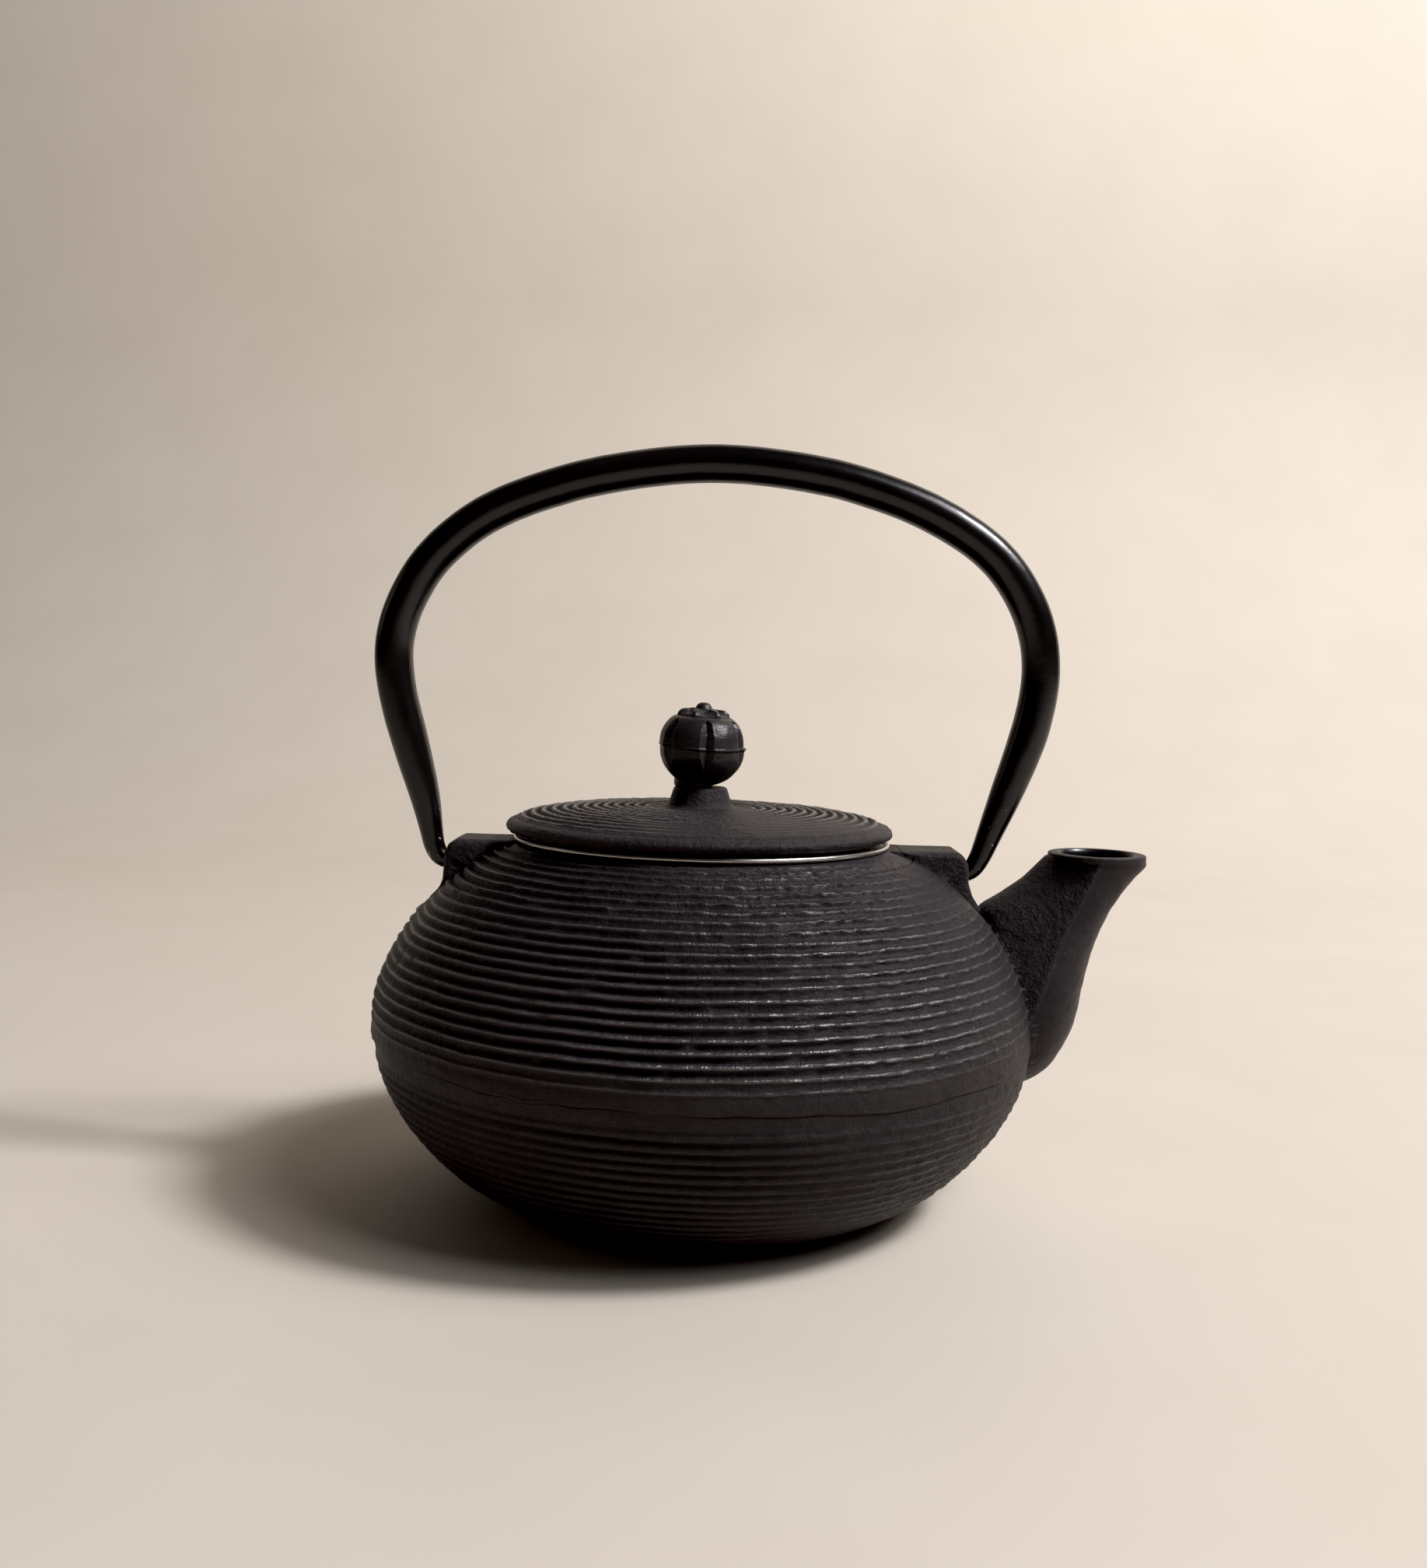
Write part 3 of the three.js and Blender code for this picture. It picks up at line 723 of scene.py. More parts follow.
def pot_relief(angles, along, heights):
    """Height of the cast surface above the outline in mm, and how far up a rib each point is,
    on a grid of outline length and angle."""
    rows, cols = len(along), len(angles)
    angle = wrap(angles)[None]              # 0 at the spout, -pi/2 at the front
    side = np.abs(angle)
    z = heights[:, None]
    near = 1 - angle_step(24, 62, side)     # close to the spout
    broken = 1 - angle_step(48, 112, side)  # from the spout round to the front and back

    def mottle(cells_along, cells_around):
        return noise(rows, cols, cells_along, cells_around)

    # how far the ribs wander, in parts of their pitch
    wander = 0.055 * mottle(LENGTH / 14, 26) + 0.035 * mottle(LENGTH / 5, 90)
    wander = wander + (0.012 + 0.060 * near) * mottle(LENGTH / 3, 190)
    speck = mottle(rows / 1.7, cols / 1.5)
    wander = wander + 0.060 * broken * speck

    def ribs(crest_heights, power):
        crests = np.sort(length_at(crest_heights))
        pitch = np.diff(crests).mean()
        crests = np.r_[crests[0] - pitch * np.arange(3, 0, -1), crests,
                       crests[-1] + pitch * np.arange(1, 4)]
        phase = np.interp(along, crests, np.arange(len(crests)))[:, None] + wander
        return (0.5 + 0.5 * np.cos(2 * np.pi * phase)) ** power

    def height_step(low, high):
        return smoothstep(length_at(low), length_at(high), along)[:, None]

    # the ribs are clean on most of the pot, rougher by the spout and nearly gone by its lug
    gone = (1 - angle_step(24, 52, side)) * smoothstep(58, 68, z)
    crisp = (1 - 0.74 * near) * (1 - 0.85 * gone)
    dark = 0.22 + 0.78 * angle_step(35, 108, side)
    fine = mottle(LENGTH / 1.4, 300)
    coarse = mottle(LENGTH / 2.35, 170)
    grit = 1 + (0.10 + 0.32 * broken) * coarse + (0.06 + 0.34 * broken) * fine
    grit = grit + (0.05 + 0.45 * broken) * speck
    # here and there the sand has broken a rib
    gap = smoothstep(0.55, 0.85, mottle(LENGTH / 2.6, 110) + 0.05 * broken + 0.12 * near)
    grit = np.clip(grit, 0.3, 1.2) * (1 - 0.45 * gap)
    fade_top = height_step(38.4, 39.4) * (0.42 + 0.58 * height_step(40.6, 43.6))
    fade_top = fade_top * (1 - 0.6 * height_step(75.4, 76.9))
    fade_low = height_step(3.6, 8.5) * (1 - height_step(31.9, 33.6))
    patchy = np.clip(0.72 + 0.40 * mottle(6, 11), 0.25, 1.05)
    top, low = ribs(RIBS_TOP, 2.1), ribs(RIBS_LOW, 1.7)
    height = 0.68 * top * fade_top * crisp * grit
    height += 0.38 * low * fade_low * (1 - 0.35 * near) * patchy * np.clip(grit, 0.3, 1.1)
    # beads of sand along the crests
    height += (0.20 * (0.15 + broken) * top * fade_top * np.clip(fine, 0, 1)
               * (1 - 0.6 * gone))
    swing = (top - 0.5) * fade_top * (0.22 + 0.78 * crisp) * np.clip(grit, 0.2, 1.0)
    low_swing = 0.6 * (low - 0.5) * fade_low * (1 - 0.4 * near) * patchy
    # the rib value paints shade into the grooves and highlight onto the crests; dark sets how
    # deep the painted groove shade is, weaker near the spout
    rib = 0.5 + np.where(swing > 0, swing, swing * dark)
    rib = rib + np.where(low_swing > 0, 0.6 * low_swing, low_swing * dark)
    # the finish is duller, and the painted groove shade and crest highlight weaker, round the
    # shoulder and on the side away from the spout
    calm = (1 - 0.42 * smoothstep(62, 70, z)) * (1 - 0.50 * angle_step(98, 132, side))
    rib = 0.5 + (rib - 0.5) * calm
    # painted shade: below the parting line, away from the spout, the rib value is lowered so the
    # lower belly is painted darker
    rib = rib - 0.24 * (1 - smoothstep(30, 36, z)) * angle_step(48, 90, side)
    # the ribs stop bluntly at the lugs
    radius = np.interp(along, curve_length, curve[:, 0])[:, None]
    across = np.abs(radius * np.sin(angle))
    lug_zone = smoothstep(61, 64, z) * (np.abs(np.cos(angle)) > 0.5)
    stop = 1 - lug_zone * (1 - smoothstep(8.1, 9.3, across))
    height *= stop
    # painted shade: beside the lugs the rib value falls to 0.25, painting the join darker
    rib = 0.25 + (rib - 0.25) * stop
    # flat patches worn on the ribs beside the lug away from the spout
    worn = np.exp(-(((side - math.radians(167)) / math.radians(5.5)) ** 4))
    worn = worn * np.exp(-(((z - 62.3) / 4.2) ** 4))
    height = height * (1 - 0.97 * worn)
    # the two mould halves don't quite meet: a wandering step with a little flash
    line = PARTING_Z + 0.50 * mottle(2, 24) + 0.26 * mottle(2, 90)
    line = line + 0.5 * np.sin(angle * 2 + 0.6)
    below = 1 - smoothstep(-0.15, 0.15, z - line)
    height += below * (-0.34 + 0.26 * np.cos(angle))
    flash = bell(z - line, 0.34) * np.clip(0.35 + 0.9 * mottle(2, 40), 0, 1)
    height += 0.26 * flash
    # the flash is brighter on the side away from the spout
    rib = rib + 0.40 * flash * angle_step(100, 125, side)
    band = smoothstep(33.6, 35.0, z) * (1 - smoothstep(37.6, 39.6, z))
    height += band * (0.14 + 0.07 * mottle(LENGTH / 3, 120))
    # painted shade: a dark broken line right under the step, where its ledge shades the surface
    under = bell(z - line + 0.30, 0.26) * np.clip(0.55 + 0.9 * mottle(2, 34), 0, 1)
    rib = rib * (1 - under) + 0.04 * under
    # below it the sand was loose for a few millimetres
    loose = smoothstep(27, 30, z) * (1 - smoothstep(33.0, 34.6, z))
    loose = loose * smoothstep(0.0, 0.6, mottle(3, 9) + 0.35)
    height += 0.10 * loose * coarse
    # sand-cast lumps, rougher by the spout
    height += 0.07 * mottle(LENGTH / 17, 24) + 0.04 * mottle(LENGTH / 5, 84)
    height += (0.030 + 0.060 * near) * mottle(LENGTH / 1.6, 260) + 0.05 * near * coarse
    height += (0.012 + 0.045 * broken + 0.030 * near) * speck
    return height * (1 - 0.97 * worn), rib


def make_body():
    """The solid body of the pot, and its grid of rib heights."""
    angles = round_angles(POT_COLS)
    along = np.linspace(0, LENGTH, POT_ROWS)
    line = resample(along, curve_length, curve)
    normal = side_normals(line)
    height, rib = pot_relief(angles, along, line[:, 1])
    height *= smoothstep(0, 2.5, along)[:, None]
    height *= (1 - smoothstep(LENGTH - 1.2, LENGTH, along))[:, None]
    outside = revolve(line[:, :1] + normal[:, :1] * height,
                      np.maximum(line[:, 1:] + normal[:, 1:] * height, 0.0), angles)
    # underside: a shallow dished centre inside a flat foot
    under = step_along([(2.0, 0.55), (30.0, 0.55), (31.2, 0.45), (32.4, 0.1), (33.2, 0.0),
                        (40.6 * SCALE, 0.0)], 1.6)
    lumps = 0.06 * noise(len(under), POT_COLS, 8, 40) * smoothstep(0, 1, 38 - under[:, :1])
    underside = revolve(under[:, :1], np.maximum(under[:, 1:] + lumps, 0.0), angles)
    rim = step_along([(40.75, 77.18), (40.5, RIM_Z), (39.0, RIM_Z)], 0.4)
    top = step_along([(39.0, RIM_Z), (3.0, RIM_Z)], 4.0)[1:]
    rings = [underside, outside]
    rings += [revolve(part[:, :1], part[:, 1:], angles) for part in (rim, top)]
    return skin_rings("pot_casting", np.concatenate(rings)), rib


def make_spout():
    """The solid spout, and the points of the crisp edges down its flanks.

    Level slices have a round nose and flat flanks that narrow towards the pot; a plain round
    lip stands a little proud of the flanks.
    """
    low_rows, top_rows = count(96), count(26)
    nose_steps, flank_steps = count(44), count(34)
    cut_z = 73.6 * SCALE            # the slices are closer together above this
    straight = 0.72                 # part of a flank before it curls in
    lip_x, lip_radius = pot_high[0] - 10.75 * SCALE, 10.72 * SCALE

    heights = np.r_[np.linspace(SPOUT_SLICES[0, 0], cut_z, low_rows, endpoint=False),
                    np.linspace(cut_z, 76.9 * SCALE, top_rows)]
    slices = resample(heights, SPOUT_SLICES[:, 0], SPOUT_SLICES)
    nose = np.linspace(-np.pi / 2, np.pi / 2, nose_steps + 1)
    half = flank_steps // 2
    bend = np.sin(np.linspace(0, np.pi / 2, flank_steps - half))
    flank = np.r_[np.linspace(0, straight, half, endpoint=False), straight + 0.28 * bend][1:]
    curl = np.sqrt(np.clip(1 - (np.clip(flank - straight, 0, 1) / 0.28) ** 2, 0, 1))
    around = len(nose) + 2 * len(flank) - 1
    wobble = 0.16 * np.interp(heights, np.linspace(heights[0], heights[-1], 40),
                              rng.uniform(-1, 1, 40))
    rings = []
    for (z, inner_x, edge_x, nose_x, edge_half, inner_half), shift in zip(slices, wobble):
        edge_x = edge_x + shift
        round_x = edge_x + (nose_x - edge_x) * np.cos(nose) ** 0.92
        round_y = edge_half * np.sin(nose) * (1 + 0.03 * np.cos(nose))
        flank_x = edge_x + (inner_x - edge_x) * flank
        flank_y = (edge_half + (inner_half - edge_half) * flank) * curl
        x = np.concatenate([round_x, flank_x, flank_x[-2::-1]])
        y = np.concatenate([round_y, flank_y, -flank_y[-2::-1]])
        # the line where the round lip starts falls from the pot's side to the nose
        turn = np.arctan2(y, x - lip_x)
        start = (76.35 - np.clip((x / SCALE - 76) / 22, 0, 1) * 1.35) * SCALE
        soft = 0.12 + 0.55 * np.clip((x / SCALE - 84.5) / 6, 0, 1)
        lip = smoothstep(start - soft, start + soft, np.full(around, z))
        rings.append(np.stack([x * (1 - lip) + (lip_x + lip_radius * np.cos(turn)) * lip,
                               y * (1 - lip) + lip_radius * np.sin(turn) * lip,
                               np.full(around, z)], -1))
    rings = np.array(rings)
    # cast lumps, kept off the crisp edges at either end of the nose
    column = np.arange(around)
    corners = (0, len(nose) - 1)
    off_edge = np.minimum.reduce([
        np.minimum(np.abs(column - corner), around - np.abs(column - corner))
        for corner in corners])
    rows = len(rings)
    lumps = (0.10 * noise(rows, around, 22, 18) + 0.07 * noise(rows, around, 50, 44)
             + 0.05 * noise(rows, around, 90, 80)) * smoothstep(0, 4, off_edge.astype(float))
    lumps *= 1 - smoothstep(72.5 * SCALE, 74.0 * SCALE, rings[:, :, 2])
    outward = rings.copy()
    outward[:, :, 0] -= rings[:, :, 0].mean(1, keepdims=True)
    outward[:, :, 2] = 0
    outward /= np.maximum(np.linalg.norm(outward, axis=2, keepdims=True), 1e-6)
    rings = rings + outward * lumps[:, :, None]
    keep = heights < 75.2 * SCALE
    crease = np.concatenate([rings[keep, corner] for corner in corners])
    # top of the lip, rounded over
    turn = np.arctan2(rings[-1, :, 1], rings[-1, :, 0] - lip_x)
    caps = [np.stack([lip_x + radius * SCALE * np.cos(turn), radius * SCALE * np.sin(turn),
                      np.full(around, min(z * SCALE, RIM_Z))], -1)
            for radius, z in ((10.62, 77.06), (10.38, 77.16), (9.9, 77.2), (9.0, 77.2))]
    return skin_rings("spout", np.concatenate([rings, np.array(caps)])), crease


def make_lug(side):
    """A lug for the handle, with its front and back edges rounded."""
    half_width, edge = 7.75 * SCALE, 2.2
    outline = np.array(LUGS[side]) * SCALE
    if side > 0:
        upper = (outline[:, 0] > 50) & (outline[:, 1] > 69 * SCALE)
        outline[upper, 0] -= 0.3
    outline = rounded(outline, LUG_RADII, 0.4)
    normal = outward_normals(outline, closed=True)
    # the edges are drawn in fully on the outer side and not at all inside the pot
    outer = smoothstep(40, 50, outline[:, 0])[:, None]
    front = [(-half_width + edge * (1 - math.sin(turn)), edge * (1 - math.cos(turn)))
             for turn in np.radians(np.linspace(90, 0, 10))]
    flat = np.linspace(-half_width + edge, half_width - edge, 20)[1:-1]
    layers = front + [(y, 0.0) for y in flat] + [(-y, inset) for y, inset in front[::-1]]
    rings = []
    for y, inset in layers:
        line = outline - normal * inset * 0.62 * outer
        rings.append(np.stack([line[:, 0] * side, np.full(len(line), y), line[:, 1]], -1))
    rings = np.array(rings)
    rows, cols = rings.shape[:2]
    rings[:, :, 2] += 0.05 * noise(rows, cols, 6, 22)
    rings[:, :, 0] += 0.05 * noise(rows, cols, 6, 22) * side
    rings[:, :, 1] += 0.05 * noise(rows, cols, 4, 22)
    return skin_rings("lug", rings)


def join_weight(points):
    """How strongly to soften each point: only near where spout and lugs meet the body."""
    x, y, z = points.T
    gap = np.abs(np.hypot(x, y) - np.interp(z, curve[:, 1], curve[:, 0])) * 0.8
    lugs = (np.abs(x) > 41) & (np.abs(y) < 10.5) & (z > 61.5) & (z < 76.9)
    spout = (x > 58) & (np.abs(y) < 20) & (z > 22) & (z < 67)
    weight = np.where(spout, 0.7 * bell(gap, 0.7), 0.0)
    weight[spout & (np.abs(y) < 3) & (z < 60)] = 0
    return np.where(lugs, np.maximum(weight, bell(gap, 0.9)), weight)


def make_cavity():
    """The space inside the pot, up through its mouth."""
    line = smooth_curve(OUTLINE, 120)
    line = line - side_normals(line) * WALL
    line = line[(line[:, 1] > 6.2 * SCALE) & (line[:, 0] > 39.2 * SCALE)]
    bottom = [(3.0, 4.6), (37.0, 4.6), (42.0, 4.9)]
    mouth = [(38.6, 73.4), (37.9, 72.4), (37.9, 76.6), (38.3, 77.1), (38.9, 78.5)]
    profile = step_along(np.vstack([bottom, line / SCALE, mouth]) * SCALE, 1.5)
    return turned("cavity", profile, 192, closed=False)


def make_spout_bore():
    angles = round_angles(56)
    return skin_rings("bore", np.stack([
        np.stack([(inner + outer) / 2 + (outer - inner) / 2 * np.cos(angles),
                  half_width * np.sin(angles), np.full(56, z)], -1)
        for z, inner, outer, half_width in smooth_curve(SPOUT_BORE, 90)]))


def make_socket(side):
    """The stepped hole in a lug that takes the end of the handle."""
    angles = round_angles(40)
    profile = [(0.3, 50.4), (2.3, 50.4), (2.55, 50.7), (2.55, 57.0), (2.7, 57.5), (3.3, 58.2),
               (3.3, 61.5), (0.3, 61.5)]    # radius, distance from the pot's axis
    return skin_rings("socket", np.stack([
        np.stack([np.full(40, x * side), radius * np.cos(angles),
                  HINGE_Z + radius * np.sin(angles)], -1)
        for radius, x in step_along(profile, 0.5)]))


def set_pot_attributes(pot, rib):
    """Gives the finish how far up a rib each point is (0.5 where there are no ribs), and how
    coarse the casting is."""
    x, y, z = (points_of(pot) / MM).T
    # each point is matched to the outline by its direction from a centre inside the section
    centre = 38 * SCALE
    turn = np.arctan2(curve[:, 1] - centre, curve[:, 0] - centre)
    reach = np.hypot(curve[:, 1] - centre, curve[:, 0] - centre)
    radius = np.hypot(x, y)
    point_turn = np.arctan2(z - centre, radius - centre)
    over = np.hypot(z - centre, radius - centre) - np.interp(point_turn, turn, reach)
    part = np.interp(point_turn, turn, curve_length) / LENGTH
    row = np.clip(np.round(part * (POT_ROWS - 1)).astype(int), 0, POT_ROWS - 1)
    azimuth = np.arctan2(y, x)
    col = np.round((azimuth % (2 * np.pi)) / (2 * np.pi) * POT_COLS).astype(int) % POT_COLS
    relief = np.where((over > -1.2) & (over < 1.0), rib[row, col], 0.5)
    set_attribute(pot, "relief", relief)
    # rough on the spout's flanks and towards it, smooth on the spout's round nose
    body = 0.85 + 0.75 * (1 - angle_step(26, 70, np.abs(azimuth)))
    edge_x = np.interp(z, SPOUT_SLICES[:, 0], SPOUT_SLICES[:, 2])
    on_spout = (x > 58 * SCALE) & (over > 1.0) & (np.abs(y) < 19) & (z > 24)
    nose = smoothstep(-0.6, 0.9, x - edge_x)
    coarse = np.where(on_spout, 1.5 * (1 - nose) + 0.34 * nose, body)
    coarse = np.where(z > 75.2 * SCALE, np.minimum(coarse, 0.6), coarse)
    on_lug = (z > 60) & (np.abs(x) > 42) & (np.abs(y) < 9.5) & ~on_spout & (over > 0.8)
    set_attribute(pot, "grain", np.where(on_lug, 1.25, coarse))


def make_pot():
    pot, rib = make_body()
    spout, crease = make_spout()
    boolean(pot, spout, "UNION")
    for side in (1, -1):
        boolean(pot, make_lug(side), "UNION")
    soften(pot, join_weight, rounds=6)

    pot.data.materials.clear()
    pot.data.materials.append(POT_IRON)
    pot.data.materials.append(ENAMEL)
    pot.data.polygons.foreach_set("material_index", np.zeros(len(pot.data.polygons), np.int32))
    # each cutter leaves its own material on the faces it cuts
    cutters = ((make_cavity(), ENAMEL), (make_spout_bore(), ENAMEL),
               (make_socket(1), POT_IRON), (make_socket(-1), POT_IRON))
    for cutter, material in cutters:
        cutter.data.materials.append(material)
        boolean(pot, cutter, "DIFFERENCE", material_mode="TRANSFER")
    shade(pot, 38)
    mark_sharp(pot, crease)
    set_pot_attributes(pot, rib)
    register(pot, "pot", "pot_body")


# ---------------------------------------------------------------- bail handle

# centre line of the tube from one lug over the top to the other: x, z, tube radius
HANDLE_HINGE_Z = 72.0
HANDLE_LINE = np.array([
    (-52.2, 72.0, 2.1), (-55.0, 72.0, 2.1), (-57.7, 72.05, 2.1), (-59.4, 72.8, 2.15),
    (-60.6, 74.8, 2.3), (-61.4, 78.6, 2.6), (-62.9, 85.8, 3.3), (-66.4, 98.0, 4.05),
    (-69.4, 109.3, 4.2), (-70.3, 117.0, 4.2), (-69.8, 122.5, 4.2), (-67.5, 129.5, 4.2),
    (-61.8, 138.8, 4.2), (-50.5, 148.3, 4.2), (-33.8, 155.3, 4.2), (-17.0, 159.2, 4.2),
    (0.0, 160.9, 4.2), (17.1, 159.8, 4.2), (31.8, 157.0, 4.2), (48.7, 150.9, 4.2),
    (62.3, 142.1, 4.2), (69.1, 133.0, 4.2), (72.1, 125.5, 4.2), (73.2, 117.5, 4.2),
    (72.4, 109.0, 4.2), (70.7, 101.9, 4.15), (66.6, 89.9, 3.55), (63.2, 80.8, 2.8),
    (61.1, 75.3, 2.35), (59.6, 72.9, 2.15), (57.8, 72.05, 2.1), (55.0, 72.0, 2.1),
    (52.2, 72.0, 2.1)])


def make_handle():
    number = count(420)
    cols = 56
    line = smooth_curve(HANDLE_LINE, number)
    line[:, 1] += HINGE_Z - HANDLE_HINGE_Z
    # even out the bends between the measured points, but not near the ends
    inner = np.arange(1, number - 1)
    ease = smoothstep(8, 30, np.minimum(inner, number - 1 - inner).astype(float))[:, None]
    for _ in range(10):
        mean = line[1:-1] * 0.5 + (line[:-2] + line[2:]) * 0.25
        line[1:-1] += (mean - line[1:-1]) * ease
    normal = side_normals(line[:, :2])
    angles = round_angles(cols)

    def tube(indices, inset, seam=False):
        rings = []
        for i in indices:
            radius = line[i, 2] - inset
            radii = np.full(cols, radius)
            if seam:
                # a shallow groove along the inner side of the bend
                outward = normal[i, 0] * line[i, 0] + normal[i, 1] * (line[i, 1] - 110) > 0
                away = wrap(angles - (np.pi if outward else 0)) * radius
                radii = radii - 0.16 * bell(away, 0.28) * smoothstep(2.4, 3.2, radius)
            x = line[i, 0] + normal[i, 0] * radii * np.cos(angles)
            z = line[i, 1] + normal[i, 1] * radii * np.cos(angles)
            rings.append(np.stack([x, radii * np.sin(angles), z], -1))
        return np.array(rings)

    def cut_end(i, insets):
        """Slightly hollow rings across the cut end of the tube wall."""
        depths = {0.15: 0.12, 0.45: 0.18, 0.75: 0.12}
        away = 1 if line[i, 0] > 0 else -1
        return [tube([i], inset) + np.array([depths[inset] * away, 0, 0]) for inset in insets]

    outside = tube(range(number), 0.0, seam=True)
    lumps = 0.035 * noise(number, cols, number / 9, 5) + 0.02 * noise(number, cols, number / 4, 9)
    centre = np.stack([line[:, 0], np.zeros(number), line[:, 1]], -1)[:, None]
    outside = centre + (outside - centre) * (1 + lumps / line[:, 2][:, None])[:, :, None]
    inside = tube([*range(number - 1, -1, -6), 0], 0.9)
    bail = skin_rings("bail", np.concatenate([
        outside, *cut_end(number - 1, (0.15, 0.45, 0.75)),
        inside, *cut_end(0, (0.75, 0.45, 0.15))]), looped=True)
    finish_piece(bail, BAIL_LACQUER, 40, "bail", "handle")


# ---------------------------------------------------------------- lid

# (radius, height) as drawn, from the neck under the knob outwards and back underneath
LID_DRAWN_TOP, LID_DRAWN_RADIUS = 89.7, 42.8
LID_BORE = 2.75
LID_NECK = [(LID_BORE, LID_DRAWN_TOP), (5.6, LID_DRAWN_TOP), (5.97, 89.4)]
LID_FLARE = [(5.97, 89.4), (6.45, 87.9), (6.95, 86.4), (7.4, 85.55), (8.3, 85.16), (10.5, 85.03)]
LID_DOME = [(10.5, 85.03), (16, 84.98), (22, 84.78), (28, 84.38), (34, 83.75), (38.2, 83.05),
            (40.3, 82.5)]
LID_EDGE = [(40.3, 82.35), (41.7, 81.95), (42.55, 81.35), (LID_DRAWN_RADIUS, 80.75),
            (42.6, 80.1), (41.9, 79.5), (40.8, 79.08), (39.6, 78.92)]
LID_UNDER = [(39.6, 78.92), (34.5, 78.9), (34.5, 72.8), (32.4, 72.8), (32.3, 78.3), (30.5, 79.2),
             (20, 80.7), (12, 81.3), (LID_BORE, 81.3), (LID_BORE, LID_DRAWN_TOP)]
LID_UNDER_RADII = [0, 0.5, 0.5, 0.5, 1.2, 1.5, 3, 1, 0.3, 0]


def lid_relief(profile, cols, top_rows):
    """Height of the cast surface above the lid's profile, and how far up a rib it is."""
    rows = len(profile)
    radius = profile[:, 0][:, None]
    angle = wrap(round_angles(cols))[None]
    topside = (np.arange(rows) < top_rows)[:, None]
    wander = 0.07 * noise(rows, cols, 9, 30)
    phase = (39.2 - radius) / 2.27 + wander * 0.4
    wave = (0.5 + 0.5 * np.cos(2 * np.pi * phase)) ** 1.9
    extent = smoothstep(9.5, 14, radius) * (1 - smoothstep(39.0, 40.2, radius)) * topside
    # the ribs are worn at the front, on the spout's side
    away = np.abs(wrap(angle + math.radians(62)))
    clean = 0.16 + 0.84 * angle_step(24, 70, away + math.radians(22) * (radius < 30))
    grit = np.clip(0.84 + 0.30 * noise(rows, cols, 60, 150), 0.2, 1.15)
    height = 0.48 * wave * extent * clean * grit
    height += topside * (
        0.06 * noise(rows, cols, 12, 18)
        + (0.014 + 0.016 * (1 - clean))
        * (noise(rows, cols, 40, 70) + 0.6 * noise(rows, cols, 110, 190)))
    # the crown is a little higher away from the spout
    height += (0.16 * topside * (0.5 - 0.5 * np.cos(angle)) * smoothstep(8, 20, radius)
               * (1 - smoothstep(34, 40, radius)))
    height += (~topside) * 0.03 * noise(rows, cols, 60, 90)
    height *= smoothstep(LID_BORE, 3.6, radius)
    # grains of sand left standing along the rim
    grains = smoothstep(0.62, 0.9, noise(rows, cols, 90, 240))
    height += 0.16 * grains * smoothstep(36, 40.5, radius) * topside
    return height, np.where(extent > 0, 0.5 + (wave - 0.5) * extent * clean, 0.5)


def make_lid():
    cols = count(384)
    upper = np.vstack([
        rounded(LID_NECK, [0, 0.35, 0.3], 0.3, closed=False), smooth_curve(LID_FLARE, 26)[1:],
        smooth_curve(LID_DOME, 120)[1:], smooth_curve(LID_EDGE, 42)[1:]])
    under = rounded(LID_UNDER, LID_UNDER_RADII, 0.8, closed=False)[1:-1]
    profile = np.vstack([upper, under])
    profile[:, 0] *= np.where(profile[:, 0] > 36, LID_RADIUS / LID_DRAWN_RADIUS, 1)
    profile[:, 1] += LID_TOP - LID_DRAWN_TOP
    height, ribs = lid_relief(profile, cols, len(upper))
    lid = turned("lid_casting", profile, cols, shift=height)
    # the relief value paints shade into the lid's grooves and highlight onto its crests
    set_attribute(lid, "relief", ribs.ravel())
    set_attribute(lid, "grain", np.full(len(lid.data.vertices), 1.0))
    move_x(lid, LID_X)
    finish_piece(lid, LID_IRON, 45, "cover", "lid")


# ---------------------------------------------------------------- knob, rivet and washer

KNOB_MIDDLE = 9.0       # height of the ball's middle above the knob's joint
# profiles: radius, height above the ball's middle
KNOB_BALL = [
    (0.3, -8.7), (1.5, -8.7), (2.4, -8.62), (3.3, -8.36), (4.2, -8.03), (5.25, -7.52),
    (6.13, -6.98), (7.0, -6.22), (7.85, -5.22), (8.75, -3.75), (9.26, -2.3), (9.40, -0.9),
    (9.40, 0.0), (9.37, 1.2), (9.2, 2.5), (8.8, 3.7), (8.32, 4.6), (7.8, 5.35), (7.3, 5.88),
    (6.8, 6.28), (6.3, 6.55), (5.95, 6.7)]
KNOB_CAP = [
    (5.74, 6.74), (5.68, 7.05), (5.52, 7.45), (5.2, 7.85), (4.75, 8.13), (4.2, 8.27),
    (3.5, 8.34), (2.7, 8.36), (2.2, 8.38), (1.9, 8.5), (1.74, 8.78), (1.56, 9.12),
    (1.28, 9.42), (0.88, 9.66), (0.25, 9.76)]
KNOB_SEAM_Z = 0.12      # where the mould halves met
# profiles: radius, height along the knob's axis
KNOB_STUB = [(0.2, 0.13), (4.22, 0.13), (4.32, 0.9), (4.28, 3.2), (0.2, 4.2)]
KNOB_BORE = [(0.2, -2.0), (1.62, -2.0), (1.62, 10.3), (0.2, 11.2)]
RIVET_HEAD = [(0.2, -11.2), (1.2, -11.1), (2.2, -10.75), (2.85, -10.2), (3.0, -9.85)]
RIVET_SHANK = [(2.9, -9.75), (1.6, -9.75), (1.45, -9.6), (1.45, 9.6), (1.2, 9.95), (0.3, 10.0)]
WASHER = [(1.75, -9.6), (4.4, -9.6), (4.4, -8.85), (1.75, -8.85)]


def stand_on_joint(ob):
    """Moves a piece drawn on +z at the origin onto the knob's joint and axis."""
    z = Vector(KNOB_AXIS).normalized()
    x = Vector((0, 1, 0)).cross(z).normalized()
    place = Matrix((x, z.cross(x), z)).transposed().to_4x4()
    place.translation = Vector([float(value) * MM for value in KNOB_AT])
    ob.data.transform(place)


